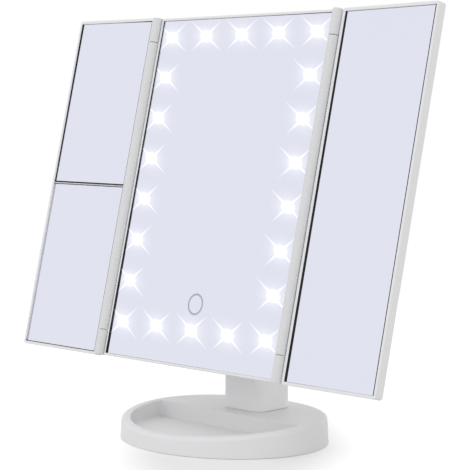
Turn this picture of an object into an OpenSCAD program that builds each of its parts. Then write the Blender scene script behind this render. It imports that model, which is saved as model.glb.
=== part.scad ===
// Trifold vanity mirror on an oval base: a lit main mirror that tilts on a short neck, and two
// wings that fold over its front. Millimetres, +Z up, the mirrors face -Y, and the origin is
// under the middle of the base. Panel sizes are taken across the glass: x is sideways, y is the
// depth behind the face of the main glass, and z runs up the panel.

/* [Main panel] */
// Width of the main frame, without its hinges
panel_w = 165; // [150:0.5:180]
// Height of all three frames
panel_h = 238.8; // [225:0.2:260]
// Side wall of the main frame
side_wall = 1.5; // [1.3:0.1:1.9]
// Top and bottom wall of all three frames
end_wall = 1.7; // [1.4:0.1:2.4]
// Height of a frame's edge in front of its glass
lip_h = 1.2; // [0.8:0.1:1.8]
// Thickness of each mirror glass
glass_t = 2; // [1.6:0.1:2.4]
// Gap between a glass and the wall round it
glass_gap = 0.25; // [0.15:0.05:0.4]
// Thickness of the foam tape behind each glass
tape_t = 0.5; // [0.4:0.05:0.8]
// Width of the ledge that carries the tape
ledge_w = 3; // [2:0.1:3.3]
// Thickness of the ledge
ledge_t = 1.2; // [1:0.1:1.6]
// Depth of the seam between the main frame and the rear housing
seam_depth = 5; // [4.6:0.1:5.1]
// Depth of the back of the rear housing
back_depth = 10.8; // [10.6:0.1:12]
// Wall of the rear housing
housing_wall = 1.6; // [1.2:0.1:2]

/* [Lights] */
// Distance of the outer lights from the sides of the frame
light_side = 12.7; // [11.5:0.1:18]
// Distance of the top lights from the top of the frame
light_top = 13.7; // [12:0.1:20]
// Distance of the bottom lights from the bottom of the frame
light_bottom = 24.9; // [21:0.1:28]
// Width of the light board
board_w = 9.2; // [7:0.1:9.4]
// Thickness of the circuit boards
board_t = 1; // [0.8:0.1:1.2]
// Width of one light
light_w = 3.5; // [2.8:0.1:4]
// Height of one light over its board
light_h = 0.6; // [0.4:0.05:0.8]
// Depth of the face of the light board
light_board_depth = 2.7; // [2.7:0.05:3]
// Height of the touch pad over the bottom of the panel
touch_rise = 42.4; // [38.4:0.5:45.4]
// Diameter of the touch pad
touch_d = 13; // [10:0.5:15]

/* [Wing hinges] */
// Outer diameter of the hinge barrels
barrel_d = 6.8; // [6:0.1:7.4]
// Gap between a barrel and the frame beside it
barrel_gap = 0.6; // [0.4:0.05:1]
// Distance of the hinge axis in front of the frame edges
axis_lift = 0.3; // [0.2:0.05:0.6]
// Length of each end knuckle
knuckle_l = 17.2; // [10:0.2:24]
// Gap between a knuckle and the long barrel
knuckle_gap = 0.4; // [0.3:0.05:0.6]
// Diameter of the hinge pins
pin_d = 2.4; // [2:0.1:3]
// Radial clearance of a pin in the barrel that turns on it
pin_clearance = 0.05; // [0.03:0.01:0.08]
// How far the pins end short of the knuckles
pin_inset = 1.2; // [0.8:0.1:3]

/* [Wings] */
// Thickness of both wings
wing_t = 6.8; // [6.6:0.1:8]
// Outer wall of the wings
wing_wall = 1.95; // [1.5:0.05:2.4]
// Wall of the wings beside the hinge
wing_hinge_wall = 2.5; // [2.4:0.1:4]
// Gap on each side of the middle when both wings are folded in
meeting_gap = 0.5; // [0.4:0.1:1.5]
// Angle of the left wing in front of flat
left_fold = 1; // [0:0.5:40]
// Angle of the right wing in front of flat
right_fold = 3; // [0:0.5:40]
// Thickness of the bar between the two magnifying mirrors
divider_t = 1.2; // [1.2:0.1:2.4]
// Height of the bar over the middle of the wing
divider_z = -1.0; // [-20:0.2:20]
// Thickness of the back covers
cover_t = 1.6; // [1.2:0.1:1.7]

/* [Tilt hinge] */
// Angle of the panel behind upright
tilt_angle = 13.3; // [0:0.1:60]
// Height of the tilt axis over the table
pivot_h = 77.6; // [75:0.1:84]
// Distance of the tilt axis behind the middle of the base
pivot_y = -2.1; // [-5:0.1:3]
// Depth of the tilt axis behind the glass
pivot_depth = 26; // [25.6:0.1:27]
// Height of the tilt axis over the bottom of the panel
pivot_rise = 33.4; // [29.4:0.5:35.4]
// Radius of the end of the neck's arm
arm_r = 9.5; // [8:0.1:10.5]
// Width of the neck's arm
arm_w = 26; // [22:0.5:27]
// Radius of the ears on the rear housing
ear_r = 10; // [8.5:0.1:10.5]
// Thickness of one ear
ear_t = 7; // [6.6:0.1:8]
// Thickness of one friction washer
washer_t = 1; // [0.8:0.1:1.4]
// Gap on each side of a friction washer
washer_gap = 0.04; // [0.02:0.01:0.08]
// Diameter of the tilt bolt
bolt_d = 6; // [5:0.1:6.4]
// Radial clearance of the bolt where it turns
bolt_clearance = 0.05; // [0.03:0.01:0.08]

/* [Batteries] */
// Diameter of one cell
cell_d = 14.3; // [13.9:0.1:14.5]
// Length of one cell with its button
cell_l = 50.5; // [49.5:0.1:51]
// Clearance round each cell
cell_gap = 0.4; // [0.3:0.05:0.5]
// Room for the contacts at each end of the cells
contact_room = 2.6; // [2.2:0.1:3]
// Rim round the battery bay
bay_rim = 3.2; // [3:0.1:3.8]
// Depth of the floor of the battery bay
bay_floor_depth = 6.8; // [6.8:0.1:7.2]
// Thickness of the battery door
door_t = 1.6; // [1.5:0.1:2]
// Gap round the battery door
door_gap = 0.15; // [0.1:0.05:0.25]

/* [Base] */
// Width of the oval base
base_w = 151; // [140:1:160]
// Depth of the oval base from front to back
base_d = 128.6; // [126:1:140]
// How far the wall leans in from foot to crown
base_lean = 0.9; // [0.5:0.1:3]
// Height of the highest line of the crowned top
crown_h = 18.2; // [16:0.1:20]
// Distance of that line behind the middle of the base
crown_y = 42; // [36:1:50]
// Radius of the top's curve from front to back
crown_r = 830; // [700:10:1200]
// Width of the rim in front of the tray
rim_w = 4.5; // [3:0.1:6]
// How much wider the rim is at the tray's sides
rim_side = 3; // [0:0.1:4]
// Height of the tray floor over the table
tray_floor_h = 6.2; // [5.6:0.1:6.8]
// Distance of the tray's back wall behind the middle
tray_back_y = 3; // [0:0.2:6]
// Wall of the base
base_wall = 2.2; // [1.8:0.1:2.6]
// Height of the base's edge over the table
base_lift = 0.4; // [0.4:0.1:1]
// Thickness of the bottom plate
plate_t = 1.6; // [1.4:0.1:2]
// Diameter of one foot
foot_d = 12; // [8:0.5:14]
// Thickness of one foot
foot_t = 1.2; // [1:0.1:1.4]
// Width of the steel weight
weight_w = 84; // [60:1:90]
// Thickness of the steel weight
weight_t = 5.2; // [4:0.1:5.6]

/* [Neck] */
// Width of the neck
neck_w = 38; // [36:0.5:42]
// Depth of the neck from front to back
neck_d = 32; // [31:0.5:34]
// Radius of the neck's upright corners
neck_r = 8; // [4:0.5:10]
// Distance of the neck's front behind the middle of the base
neck_front_y = 15; // [14:0.5:17]
// Height of the neck's front over the table
neck_front_h = 60; // [54:0.5:62]
// Height of the neck's back over the table
neck_back_h = 46; // [42:0.5:48]
// Wall of the neck
neck_wall = 2.4; // [2:0.1:3]

/* [Fasteners and socket] */
// Diameter of the screw shanks
screw_d = 2.6; // [2.2:0.1:2.8]
// Diameter of the screw heads
screw_head_d = 5; // [4.4:0.1:5.2]
// Height of the screw heads
screw_head_h = 1.5; // [1.2:0.1:1.6]
// Clearance of a screw in its hole
screw_gap = 0.02; // [0.01:0.01:0.05]
// Width of the charging socket
socket_w = 7.6; // [7:0.1:8.2]
// Height of the charging socket
socket_h = 2.6; // [2.2:0.1:2.7]
// Travel of the power switch
switch_travel = 3; // [2:0.1:4]

/* [Hidden] */
$fn = 64;

// Colours of the plastics, the metals and the glass.
shell_white = [0.93, 0.93, 0.93];
board_white = [0.86, 0.88, 0.84];
glass_blue = [0.84, 0.85, 0.94];
steel_grey = [0.62, 0.63, 0.65];
rubber_grey = [0.35, 0.35, 0.36];
brass_gold = [0.83, 0.72, 0.42];
cell_green = [0.45, 0.6, 0.45];
board_green = [0.1, 0.36, 0.2];
switch_grey = [0.4, 0.4, 0.42];

// Cuts run past the faces they go through by this much, and joined shapes share this much.
past = 1;
bite = 0.5;

// Hinges of the wings.
hinge_step = barrel_d / 2 + barrel_gap;
hinge_x = panel_w / 2 + hinge_step;
hinge_depth = -(lip_h + axis_lift);
barrel_half = panel_h / 2 - knuckle_l - knuckle_gap;
web_t = barrel_d / 2 - axis_lift;

// Tilt axis and touch pad, below the middle of the glass.
pivot_drop = panel_h / 2 - pivot_rise;
touch_drop = panel_h / 2 - touch_rise;

// Openings of the frames, as half sizes or edges.
main_open_x = panel_w / 2 - side_wall;
open_z = panel_h / 2 - end_wall;
wing_w = panel_w / 2 - meeting_gap;
wing_in = hinge_step + wing_hinge_wall;
wing_out = hinge_step + wing_w - wing_wall;
// Depths in a wing, counted from its hinge axis.
wing_glass = axis_lift + lip_h;
wing_ledge = wing_glass + glass_t + tape_t;
wing_back = axis_lift + wing_t;
rib_t = 1.2;
// Play between two pieces that lie against each other.
touch_gap = 0.02;

// Lights: five across, and eight up.
lights_across = 5;
lights_up = 8;
light_x = panel_w / 2 - light_side;
light_z = (panel_h - light_top - light_bottom) / 2;
light_rise = (light_bottom - light_top) / 2;
light_pitch_x = 2 * light_x / (lights_across - 1);
light_pitch_z = 2 * light_z / (lights_up - 1);

// Screws of the rear housing, their bosses and wells, and the posts behind the light board.
screw_x = main_open_x - ledge_w;
screw_end = 13;
screw_z = panel_h / 2 - screw_end;
boss_wall = 1.2;
boss_r = screw_d / 2 + boss_wall;
well_l = 2.8;
boss_depth = back_depth - well_l;
well_r = screw_head_d / 2 + boss_wall;
post_r = 2;

// Battery bay on the back, its hump, and the door that slides up off it.
cell_count = 4;
bay_w = cell_count * cell_d + (cell_count + 1) * cell_gap;
bay_l = cell_l + 2 * contact_room;
bay_depth = bay_floor_depth + cell_d + 2 * cell_gap;
hump_depth = bay_depth + door_t;
hump_w = bay_w + 2 * bay_rim;
hump_l = bay_l + 2 * bay_rim;
hump_over_ears = 4;
hump_z = -pivot_drop + ear_r + hump_over_ears;
door_step = 1.4;
door_w = bay_w + 2 * door_step;
tongue_t = door_t / 2;
tongue_w = 1;
ridge_count = 5;
ridge_w = 16;
ridge_t = 0.8;
ridge_pitch = 1.6;
ridge_top = 3.6;
grip_h = 0.6;
contact_w = cell_d * 0.7;
contact_t = 0.5;
contact_gap = 0.1;
spring_r = 3.2;
stud_r = 1.6;
button_h = 1.3;
button_r = 2.7;

// Control board, low on the right of the panel, with its screws, socket and switch.
control_w = 40;
control_h = 17;
control_side = 36.5;
board_gap = 0.2;
control_x = panel_w / 2 - control_side;
control_rise = 2.7;
control_z = -panel_h / 2 + control_rise + control_h / 2;
control_depth = seam_depth + board_gap;
control_back = control_depth + board_t;
board_screw_in = 3;
board_screw_l = 2;
socket_off = 9;
socket_x = control_x + socket_off;
socket_l = 5.5;
socket_wall = 0.4;
switch_off = [-6, 2];
switch_x = control_x + switch_off.x;
switch_z = control_z + switch_off.y;
switch_w = 9;
switch_h = 4;
switch_back = back_depth - housing_wall - board_gap;
knob_w = 4.4;
knob_h = 2.8;
knob_rise = 1.4;
knob_gap = 0.3;

// Tilt hinge: half widths of the arm, the washers and the ears.
washer_in = arm_w / 2 + washer_gap;
ear_in = washer_in + washer_t + washer_gap;
ear_out = ear_in + ear_t;
washer_inset = 0.7;
washer_r = arm_r - washer_inset;
head_step = 1.8;
head_r = bolt_d / 2 + head_step;
head_t = 2.6;
cap_t = 1.2;
cap_step = 0.6;
cap_r = head_r + cap_step;
cap_gap = 0.05;
head_in = ear_out - cap_t - head_t;

// Base.
oval_points = 120;
crown_points = 720;
plate_edge = 0.2;
plate_bottom = base_lift + 0.2;
plate_top = plate_bottom + plate_t;
foot_x = 46;
foot_y = 36;
tray_gap = 3.4;
weight_y = tray_back_y + tray_gap;
weight_back = 16.5;
weight_d = base_d / 2 - weight_back - weight_y;
weight_inset = 1.6;
base_boss_wall = 1.8;
base_boss_r = screw_d / 2 + base_boss_wall;
base_screw_side = 21;
base_screw_x = base_w / 2 - base_screw_side;
base_screw_front = 14;
base_screw_back = 12.5;
base_screw_y = [base_screw_front, base_d / 2 - base_screw_back];
base_screw_in = [0, 33];
screw_l = 8;
neck_seam = 0.1;
neck_screw_x = neck_w / 2 - neck_wall - base_boss_r;
neck_screw_y = [neck_front_y + neck_wall + base_boss_r, neck_front_y + neck_d - neck_wall - base_boss_r];
head_room = 1;
neck_seat_h = plate_top + weight_t + screw_head_h + head_room;
neck_screw_l = 14;
tray_skin = base_wall - 0.2;

// Point where a line from q touches a circle round c, on one side of it.
function tangent_point(c, r, q, side) =
    let (d = norm(q - c), a = atan2(q.y - c.y, q.x - c.x), b = side * acos(r / d))
    c + r * [cos(a + b), sin(a + b)];

// Box between two corners.
module block(low, high) {
    translate(low)
        cube(high - low);
}

// Rectangular ring round the panel's middle, between two depths.
module ring(out_x, out_z, in_x, in_z, front, back) {
    difference() {
        block([-out_x, front, -out_z], [out_x, back, out_z]);
        block([-in_x, front - past, -in_z], [in_x, back + past, in_z]);
    }
}

// Rod along the panel's depth.
module depth_rod(x, z, r, front, back) {
    translate([x, front, z])
        rotate([-90, 0, 0])
            cylinder(r = r, h = back - front);
}

// Rod along x, given by its ends.
module cross_rod(low, high, r) {
    translate([low, 0, 0])
        rotate([0, 90, 0])
            cylinder(r = r, h = high - low);
}

// Slab across x of an outline in depth and height.
module side_slab(low, high) {
    translate([low, 0, 0])
        rotate([90, 0, 90])
            linear_extrude(height = high - low)
                children();
}

// Moves what is drawn in panel sizes to where the tilted panel stands.
module on_panel() {
    translate([0, pivot_y, pivot_h])
        rotate([-tilt_angle, 0, 0])
            translate([0, -pivot_depth, pivot_drop])
                children();
}

// Moves what is drawn from the hinge axis outwards to the right wing.
module on_right_wing() {
    on_panel()
        translate([hinge_x, hinge_depth, 0])
            rotate([0, 0, -right_fold])
                children();
}

// The same on the left wing, drawn as seen in a glass.
module on_left_wing() {
    on_panel()
        mirror([1, 0, 0])
            translate([hinge_x, hinge_depth, 0])
                rotate([0, 0, -left_fold])
                    children();
}

// Puts what is drawn round the tilt axis in its place on the panel.
module on_tilt_axis() {
    on_panel()
        translate([0, pivot_depth, -pivot_drop])
            children();
}

// Screw along z with its head at the bottom, its shank starting at zero.
module screw_up(length) {
    cylinder(r = screw_d / 2, h = length);
    translate([0, 0, -screw_head_h])
        cylinder(r = screw_head_d / 2, h = screw_head_h);
}

/* Base */

// Oval of the base, drawn in by an inset, and more so at its sides.
module oval(inset, side = 0) {
    polygon([for (i = [0 : oval_points - 1])
        [(base_w / 2 - inset - side) * cos(i * 360 / oval_points),
         (base_d / 2 - inset) * sin(i * 360 / oval_points)]]);
}

// Everything under the crowned top, lowered by a drop.
module under_top(drop) {
    translate([0, crown_y, crown_h - crown_r])
        rotate([0, 90, 0])
            cylinder(r = crown_r - drop, h = 2 * base_w, center = true, $fn = crown_points);
}

// Places of the four screws that hold the bottom plate.
module at_base_screws() {
    for (side = [-1, 1], i = [0, 1])
        translate([side * (base_screw_x - base_screw_in[i]), base_screw_y[i], 0])
            children();
}

// Places of the four screws that hold the neck.
module at_neck_screws() {
    for (side = [-1, 1], y = neck_screw_y)
        translate([side * neck_screw_x, y, 0])
            children();
}

// Places of the four feet.
module at_feet() {
    for (side = [-1, 1], end = [-1, 1])
        translate([side * foot_x, end * foot_y, 0])
            children();
}

module base_outer() {
    full_h = crown_h + past;
    shrink = base_lean * full_h / crown_h;
    intersection() {
        translate([0, 0, base_lift])
            linear_extrude(height = full_h, slices = 1,
                scale = [1 - shrink / (base_w / 2), 1 - shrink / (base_d / 2)])
                oval(0);
        under_top(0);
    }
}

module base_shell() {
    color(shell_white)
    difference() {
        union() {
            difference() {
                base_outer();
                // Storage tray in the front half.
                translate([0, 0, tray_floor_h])
                    linear_extrude(height = base_d)
                        intersection() {
                            oval(base_lean + rim_w, rim_side);
                            translate([-base_w, tray_back_y - 2 * base_d])
                                square([2 * base_w, 2 * base_d]);
                        }
                // Underside, hollow up to the tray floor and under the platform.
                linear_extrude(height = tray_floor_h - tray_skin)
                    oval(base_lean + base_wall);
                intersection() {
                    translate([0, tray_back_y + base_wall, 0])
                        linear_extrude(height = base_d)
                            intersection() {
                                translate([0, -tray_back_y - base_wall])
                                    oval(base_lean + base_wall + 1);
                                translate([-base_w, 0])
                                    square([2 * base_w, 2 * base_d]);
                            }
                    under_top(base_wall);
                }
            }
            // Bosses for the screws of the bottom plate and of the neck.
            intersection() {
                union() {
                    at_base_screws()
                        translate([0, 0, plate_top + touch_gap])
                            cylinder(r = base_boss_r, h = base_d);
                    at_neck_screws()
                        translate([0, 0, neck_seat_h])
                            cylinder(r = base_boss_r, h = base_d);
                }
                under_top(base_wall / 2);
                translate([0, 0, -past])
                    linear_extrude(height = base_d)
                        oval(base_lean + base_wall / 2);
            }
        }
        // Rebate for the bottom plate, and the screw holes.
        translate([0, 0, -past])
            linear_extrude(height = plate_top + touch_gap + past)
                oval(base_wall / 2);
        at_base_screws()
            translate([0, 0, plate_top])
                cylinder(r = screw_d / 2 + screw_gap, h = screw_l - plate_t + bite);
        at_neck_screws()
            cylinder(r = screw_d / 2 + screw_gap, h = base_d);
    }
}

module base_bottom_plate() {
    color(shell_white)
    difference() {
        translate([0, 0, plate_bottom])
            linear_extrude(height = plate_t)
                oval(base_wall / 2 + plate_edge);
        at_base_screws() {
            cylinder(r = screw_d / 2 + screw_gap, h = base_d);
            cylinder(r = screw_head_d / 2 + plate_edge, h = plate_bottom + plate_t / 2);
        }
        at_feet()
            translate([0, 0, -past])
                cylinder(r = foot_d / 2 + plate_edge, h = foot_t + past);
    }
}

module base_weight() {
    color(steel_grey)
    intersection() {
        block([-weight_w / 2, weight_y, plate_top + touch_gap],
            [weight_w / 2, weight_y + weight_d, plate_top + weight_t]);
        linear_extrude(height = base_d)
            oval(base_lean + base_wall + weight_inset);
    }
}

module base_feet() {
    color(rubber_grey)
    at_feet()
        cylinder(r = foot_d / 2, h = foot_t - touch_gap);
}

module base_screws() {
    color(steel_grey)
    at_base_screws()
        translate([0, 0, plate_bottom + plate_t / 2]) {
            cylinder(r = screw_d / 2, h = screw_l - plate_t);
            mirror([0, 0, 1])
                cylinder(r = screw_head_d / 2, h = plate_t / 2);
        }
}

/* Neck */

// Outline of the neck's column, drawn in by an inset.
module neck_outline(inset) {
    r = max(neck_r - inset, 1);
    x = neck_w / 2 - inset;
    low = neck_front_y + inset;
    high = neck_front_y + neck_d - inset;
    translate([-x + r, low])
        square([2 * (x - r), high - low]);
    translate([-x, low + r])
        square([2 * x, high - low - 2 * r]);
    for (side = [-1, 1], y = [low + r, high - r])
        translate([side * (x - r), y])
            circle(r = r);
}

module neck() {
    pivot = [pivot_y, pivot_h];
    back_root = [neck_front_y + neck_d - neck_wall, neck_back_h - neck_wall];
    front_root = [neck_front_y + neck_wall, neck_back_h - neck_wall];
    color(shell_white)
    difference() {
        union() {
            intersection() {
                linear_extrude(height = neck_front_h)
                    neck_outline(0);
                side_slab(-neck_w, neck_w)
                    polygon([[neck_front_y - past, 0], [neck_front_y + neck_d + past, 0],
                        [neck_front_y + neck_d + past, neck_back_h],
                        [neck_front_y - past, neck_front_h]]);
            }
            side_slab(-arm_w / 2, arm_w / 2) {
                translate(pivot)
                    circle(r = arm_r);
                polygon([tangent_point(pivot, arm_r, back_root, 1), back_root, front_root,
                    tangent_point(pivot, arm_r, front_root, -1), pivot]);
            }
        }
        under_top(-neck_seam);
        // Hollow column with a boss at each screw.
        difference() {
            linear_extrude(height = neck_back_h - 2 * neck_wall)
                neck_outline(neck_wall);
            at_neck_screws()
                cylinder(r = base_boss_r, h = neck_back_h);
        }
        at_neck_screws()
            cylinder(r = screw_d / 2 + screw_gap, h = neck_seat_h + neck_screw_l + bite);
        translate([0, pivot_y, pivot_h])
            cross_rod(-arm_w, arm_w, bolt_d / 2 + bolt_clearance);
    }
}

module neck_screws() {
    color(steel_grey)
    at_neck_screws()
        translate([0, 0, neck_seat_h - touch_gap])
            screw_up(neck_screw_l);
}

/* Tilt hinge */

module tilt_bolt() {
    color(steel_grey)
    on_tilt_axis() {
        cross_rod(-head_in - head_t, head_in, bolt_d / 2);
        cross_rod(head_in, head_in + head_t - cap_gap, head_r);
    }
}

module tilt_nut() {
    color(steel_grey)
    on_tilt_axis()
        difference() {
            rotate([0, -90, 0])
                translate([0, 0, head_in])
                    cylinder(r = head_r, h = head_t - cap_gap, $fn = 6);
            cross_rod(-ear_out, 0, bolt_d / 2 + screw_gap);
        }
}

module friction_washers() {
    color(steel_grey)
    on_tilt_axis()
        for (side = [-1, 1])
            scale([side, 1, 1])
                difference() {
                    cross_rod(washer_in, washer_in + washer_t, washer_r);
                    cross_rod(0, ear_in, bolt_d / 2 + bolt_clearance);
                }
}

module bolt_caps() {
    color(shell_white)
    on_tilt_axis() {
        cross_rod(ear_out - cap_t, ear_out, cap_r - cap_gap);
        cross_rod(-ear_out, cap_t - ear_out, cap_r - cap_gap);
    }
}

/* Main panel */

// Places of the six screws that hold the rear housing.
module at_housing_screws() {
    for (side = [-1, 1], level = [-1, 0, 1])
        translate([side * screw_x, 0, level * screw_z])
            children();
}

module main_frame() {
    color(shell_white)
    on_panel()
    difference() {
        union() {
            ring(panel_w / 2, panel_h / 2, main_open_x, open_z, -lip_h, seam_depth);
            ring(main_open_x + bite, open_z + bite, main_open_x - ledge_w, open_z - ledge_w,
                glass_t + tape_t, glass_t + tape_t + ledge_t);
            at_housing_screws()
                depth_rod(0, 0, boss_r, glass_t + tape_t, boss_depth);
            for (side = [-1, 1], end = [-1, 1])
                scale([side, 1, end]) {
                    translate([hinge_x, hinge_depth, panel_h / 2 - knuckle_l])
                        cylinder(r = barrel_d / 2, h = knuckle_l);
                    block([panel_w / 2 - bite, -lip_h, panel_h / 2 - knuckle_l],
                        [hinge_x, hinge_depth + barrel_d / 2, panel_h / 2]);
                }
        }
        for (side = [-1, 1])
            translate([side * hinge_x, hinge_depth, -panel_h])
                cylinder(r = pin_d / 2 + screw_gap, h = 2 * panel_h);
        at_housing_screws()
            depth_rod(0, 0, screw_d / 2 + screw_gap, glass_t + tape_t + ledge_t, back_depth);
    }
}

module main_mirror() {
    color(glass_blue)
    on_panel()
        block([glass_gap - main_open_x, 0, glass_gap - open_z],
            [main_open_x - glass_gap, glass_t, open_z - glass_gap]);
}

module main_tape() {
    color(rubber_grey)
    on_panel()
        ring(main_open_x - glass_gap, open_z - glass_gap, main_open_x - ledge_w,
            open_z - ledge_w, glass_t + touch_gap, glass_t + tape_t - touch_gap);
}

module light_board() {
    color(board_white)
    on_panel()
        translate([0, 0, light_rise])
            ring(light_x + board_w / 2, light_z + board_w / 2, light_x - board_w / 2,
                light_z - board_w / 2, light_board_depth, light_board_depth + board_t);
}

module lights() {
    color(brass_gold)
    on_panel()
        for (i = [0 : lights_across - 1], j = [0 : lights_up - 1])
            if (i == 0 || i == lights_across - 1 || j == 0 || j == lights_up - 1)
                translate([i * light_pitch_x - light_x, 0, light_rise + j * light_pitch_z - light_z])
                    block([-light_w / 2, light_board_depth - light_h, -light_w / 2],
                        [light_w / 2, light_board_depth - touch_gap, light_w / 2]);
}

module touch_pad() {
    color(brass_gold)
    on_panel()
        depth_rod(0, -touch_drop, touch_d / 2, glass_t + touch_gap, glass_t + tape_t);
}

// Places of the two screws of the control board.
module at_board_screws() {
    for (side = [-1, 1])
        translate([control_x + side * (control_w / 2 - board_screw_in), 0,
                control_z + control_h / 2 - board_screw_in])
            children();
}

module control_board() {
    color(board_green)
    on_panel()
        difference() {
            block([control_x - control_w / 2, control_depth, control_z - control_h / 2],
                [control_x + control_w / 2, control_back, control_z + control_h / 2]);
            at_board_screws()
                depth_rod(0, 0, screw_d / 2 + screw_gap, 0, back_depth);
        }
}

module board_screws() {
    color(steel_grey)
    on_panel()
        at_board_screws() {
            depth_rod(0, 0, screw_head_d / 2, control_depth - screw_head_h,
                control_depth - touch_gap);
            depth_rod(0, 0, screw_d / 2, control_depth - screw_head_h,
                control_back + board_screw_l);
        }
}

module charging_socket() {
    front = control_back + touch_gap;
    low = -panel_h / 2;
    color(steel_grey)
    on_panel()
        translate([socket_x, 0, 0])
            difference() {
                block([-socket_w / 2, front, low], [socket_w / 2, front + socket_h, low + socket_l]);
                block([socket_wall - socket_w / 2, front + socket_wall, low - past],
                    [socket_w / 2 - socket_wall, front + socket_h - socket_wall,
                        low + socket_l - socket_wall]);
            }
}

module power_switch() {
    color(switch_grey)
    on_panel()
        block([switch_x - switch_w / 2, control_back + touch_gap, switch_z - switch_h / 2],
            [switch_x + switch_w / 2, switch_back, switch_z + switch_h / 2]);
}

module switch_knob() {
    color(switch_grey)
    on_panel()
        block([switch_x - (knob_w + switch_travel) / 2, switch_back + touch_gap,
                switch_z - knob_h / 2],
            [switch_x + (knob_w - switch_travel) / 2, back_depth + knob_rise,
                switch_z + knob_h / 2]);
}

// One ear of the tilt hinge, as an outline in depth and height.
module ear_outline() {
    pivot = [pivot_depth, -pivot_drop];
    top_root = [hump_depth - door_t, hump_z + bite];
    low_root = [back_depth - bite, -pivot_drop - ear_r];
    translate(pivot)
        circle(r = ear_r);
    polygon([top_root, [back_depth - bite, hump_z + bite], low_root,
        tangent_point(pivot, ear_r, low_root, 1), pivot,
        tangent_point(pivot, ear_r, top_root, -1)]);
}

module housing_tray() {
    difference() {
        block([-panel_w / 2, seam_depth + touch_gap, -panel_h / 2],
            [panel_w / 2, back_depth, panel_h / 2]);
        block([housing_wall - panel_w / 2, 0, housing_wall - panel_h / 2],
            [panel_w / 2 - housing_wall, back_depth - housing_wall, panel_h / 2 - housing_wall]);
    }
}

module rear_housing() {
    bay_z = hump_z + bay_rim;
    color(shell_white)
    on_panel()
    difference() {
        union() {
            housing_tray();
            block([-hump_w / 2, bay_floor_depth - housing_wall / 2, hump_z],
                [hump_w / 2, hump_depth, hump_z + hump_l]);
            for (side = [-1, 1])
                scale([side, 1, 1])
                    side_slab(ear_in, ear_out)
                        ear_outline();
            at_housing_screws()
                depth_rod(0, 0, well_r, boss_depth + touch_gap, back_depth);
            // Posts behind the light board and behind the control board.
            for (side = [-1, 1], level = [-1, 0, 1])
                depth_rod(side * light_x, light_rise + level * light_z, post_r,
                    light_board_depth + board_t + touch_gap, back_depth);
            at_board_screws()
                depth_rod(0, 0, boss_r, control_back + touch_gap, back_depth);
        }
        // Battery bay, the door's recess and the grooves for its tongues.
        block([-bay_w / 2, bay_floor_depth, bay_z],
            [bay_w / 2, hump_depth + past, bay_z + bay_l]);
        block([-door_w / 2 - door_gap, bay_depth, bay_z - door_step],
            [door_w / 2 + door_gap, hump_depth + past, hump_z + hump_l + past]);
        block([-door_w / 2 - door_gap - tongue_w, bay_depth, bay_z - door_step],
            [door_w / 2 + door_gap + tongue_w, bay_depth + tongue_t + door_gap,
                hump_z + hump_l + past]);
        // Screw holes, with their heads sunk in the back.
        at_housing_screws() {
            depth_rod(0, 0, screw_d / 2 + screw_gap, 0, back_depth);
            depth_rod(0, 0, screw_head_d / 2 + screw_gap, back_depth - screw_head_h,
                back_depth + past);
        }
        at_board_screws()
            depth_rod(0, 0, screw_d / 2 + screw_gap, control_back,
                control_back + board_screw_l + touch_gap);
        // Charging socket in the lower edge, and the slot of the power switch.
        block([socket_x - socket_w / 2 - screw_gap, control_back, -panel_h / 2 - past],
            [socket_x + socket_w / 2 + screw_gap, control_back + socket_h + 2 * touch_gap,
                housing_wall - panel_h / 2 + past]);
        block([switch_x - (knob_w + switch_travel) / 2 - knob_gap,
                back_depth - housing_wall - past, switch_z - knob_h / 2 - knob_gap],
            [switch_x + (knob_w + switch_travel) / 2 + knob_gap, back_depth + past,
                switch_z + knob_h / 2 + knob_gap]);
        // Bolt hole, and the sinks for its head, its nut and their caps.
        translate([0, pivot_depth, -pivot_drop]) {
            cross_rod(-panel_w, panel_w, bolt_d / 2 + screw_gap);
            for (side = [-1, 1])
                scale([side, 1, 1]) {
                    cross_rod(head_in - touch_gap, panel_w, head_r + cap_gap);
                    cross_rod(ear_out - cap_t - touch_gap, panel_w, cap_r);
                }
        }
    }
}

module housing_screws() {
    color(steel_grey)
    on_panel()
        at_housing_screws() {
            depth_rod(0, 0, screw_head_d / 2, back_depth - screw_head_h + touch_gap,
                back_depth - touch_gap);
            depth_rod(0, 0, screw_d / 2, seam_depth, back_depth - touch_gap);
        }
}

// Places of the cells, with every second one turned end for end.
module at_cells() {
    for (i = [0 : cell_count - 1])
        translate([(i - (cell_count - 1) / 2) * (cell_d + cell_gap),
                bay_floor_depth + cell_gap / 4 + cell_d / 2, hump_z + hump_l / 2])
            rotate([0, i % 2 == 0 ? 0 : 180, 0])
                children();
}

module battery_contacts() {
    half = contact_w / 2;
    back = bay_l / 2 - contact_gap;
    color(brass_gold)
    on_panel()
        at_cells()
            for (end = [-1, 1])
                scale([1, 1, end]) {
                    block([-half, -half, back - contact_t], [half, half, back]);
                    translate([0, 0, cell_l / 2 + contact_gap])
                        cylinder(r = end > 0 ? stud_r : spring_r, h = contact_room - contact_t);
                }
}

module battery_cells() {
    color(cell_green)
    on_panel()
        at_cells() {
            translate([0, 0, -cell_l / 2])
                cylinder(r = cell_d / 2, h = cell_l - button_h);
            cylinder(r = button_r, h = cell_l / 2);
        }
}

module battery_door() {
    low = hump_z + bay_rim - door_step + door_gap;
    high = hump_z + hump_l;
    color(shell_white)
    on_panel() {
        block([-door_w / 2, bay_depth + touch_gap, low], [door_w / 2, hump_depth, high]);
        block([-door_w / 2 - tongue_w, bay_depth + touch_gap, low],
            [door_w / 2 + tongue_w, bay_depth + tongue_t, high]);
        // Ridges for the thumb.
        for (i = [0 : ridge_count - 1])
            translate([0, hump_depth, high - ridge_top - i * ridge_pitch])
                block([-ridge_w / 2, -bite, 0], [ridge_w / 2, grip_h, ridge_t]);
    }
}

/* Wings */

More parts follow.
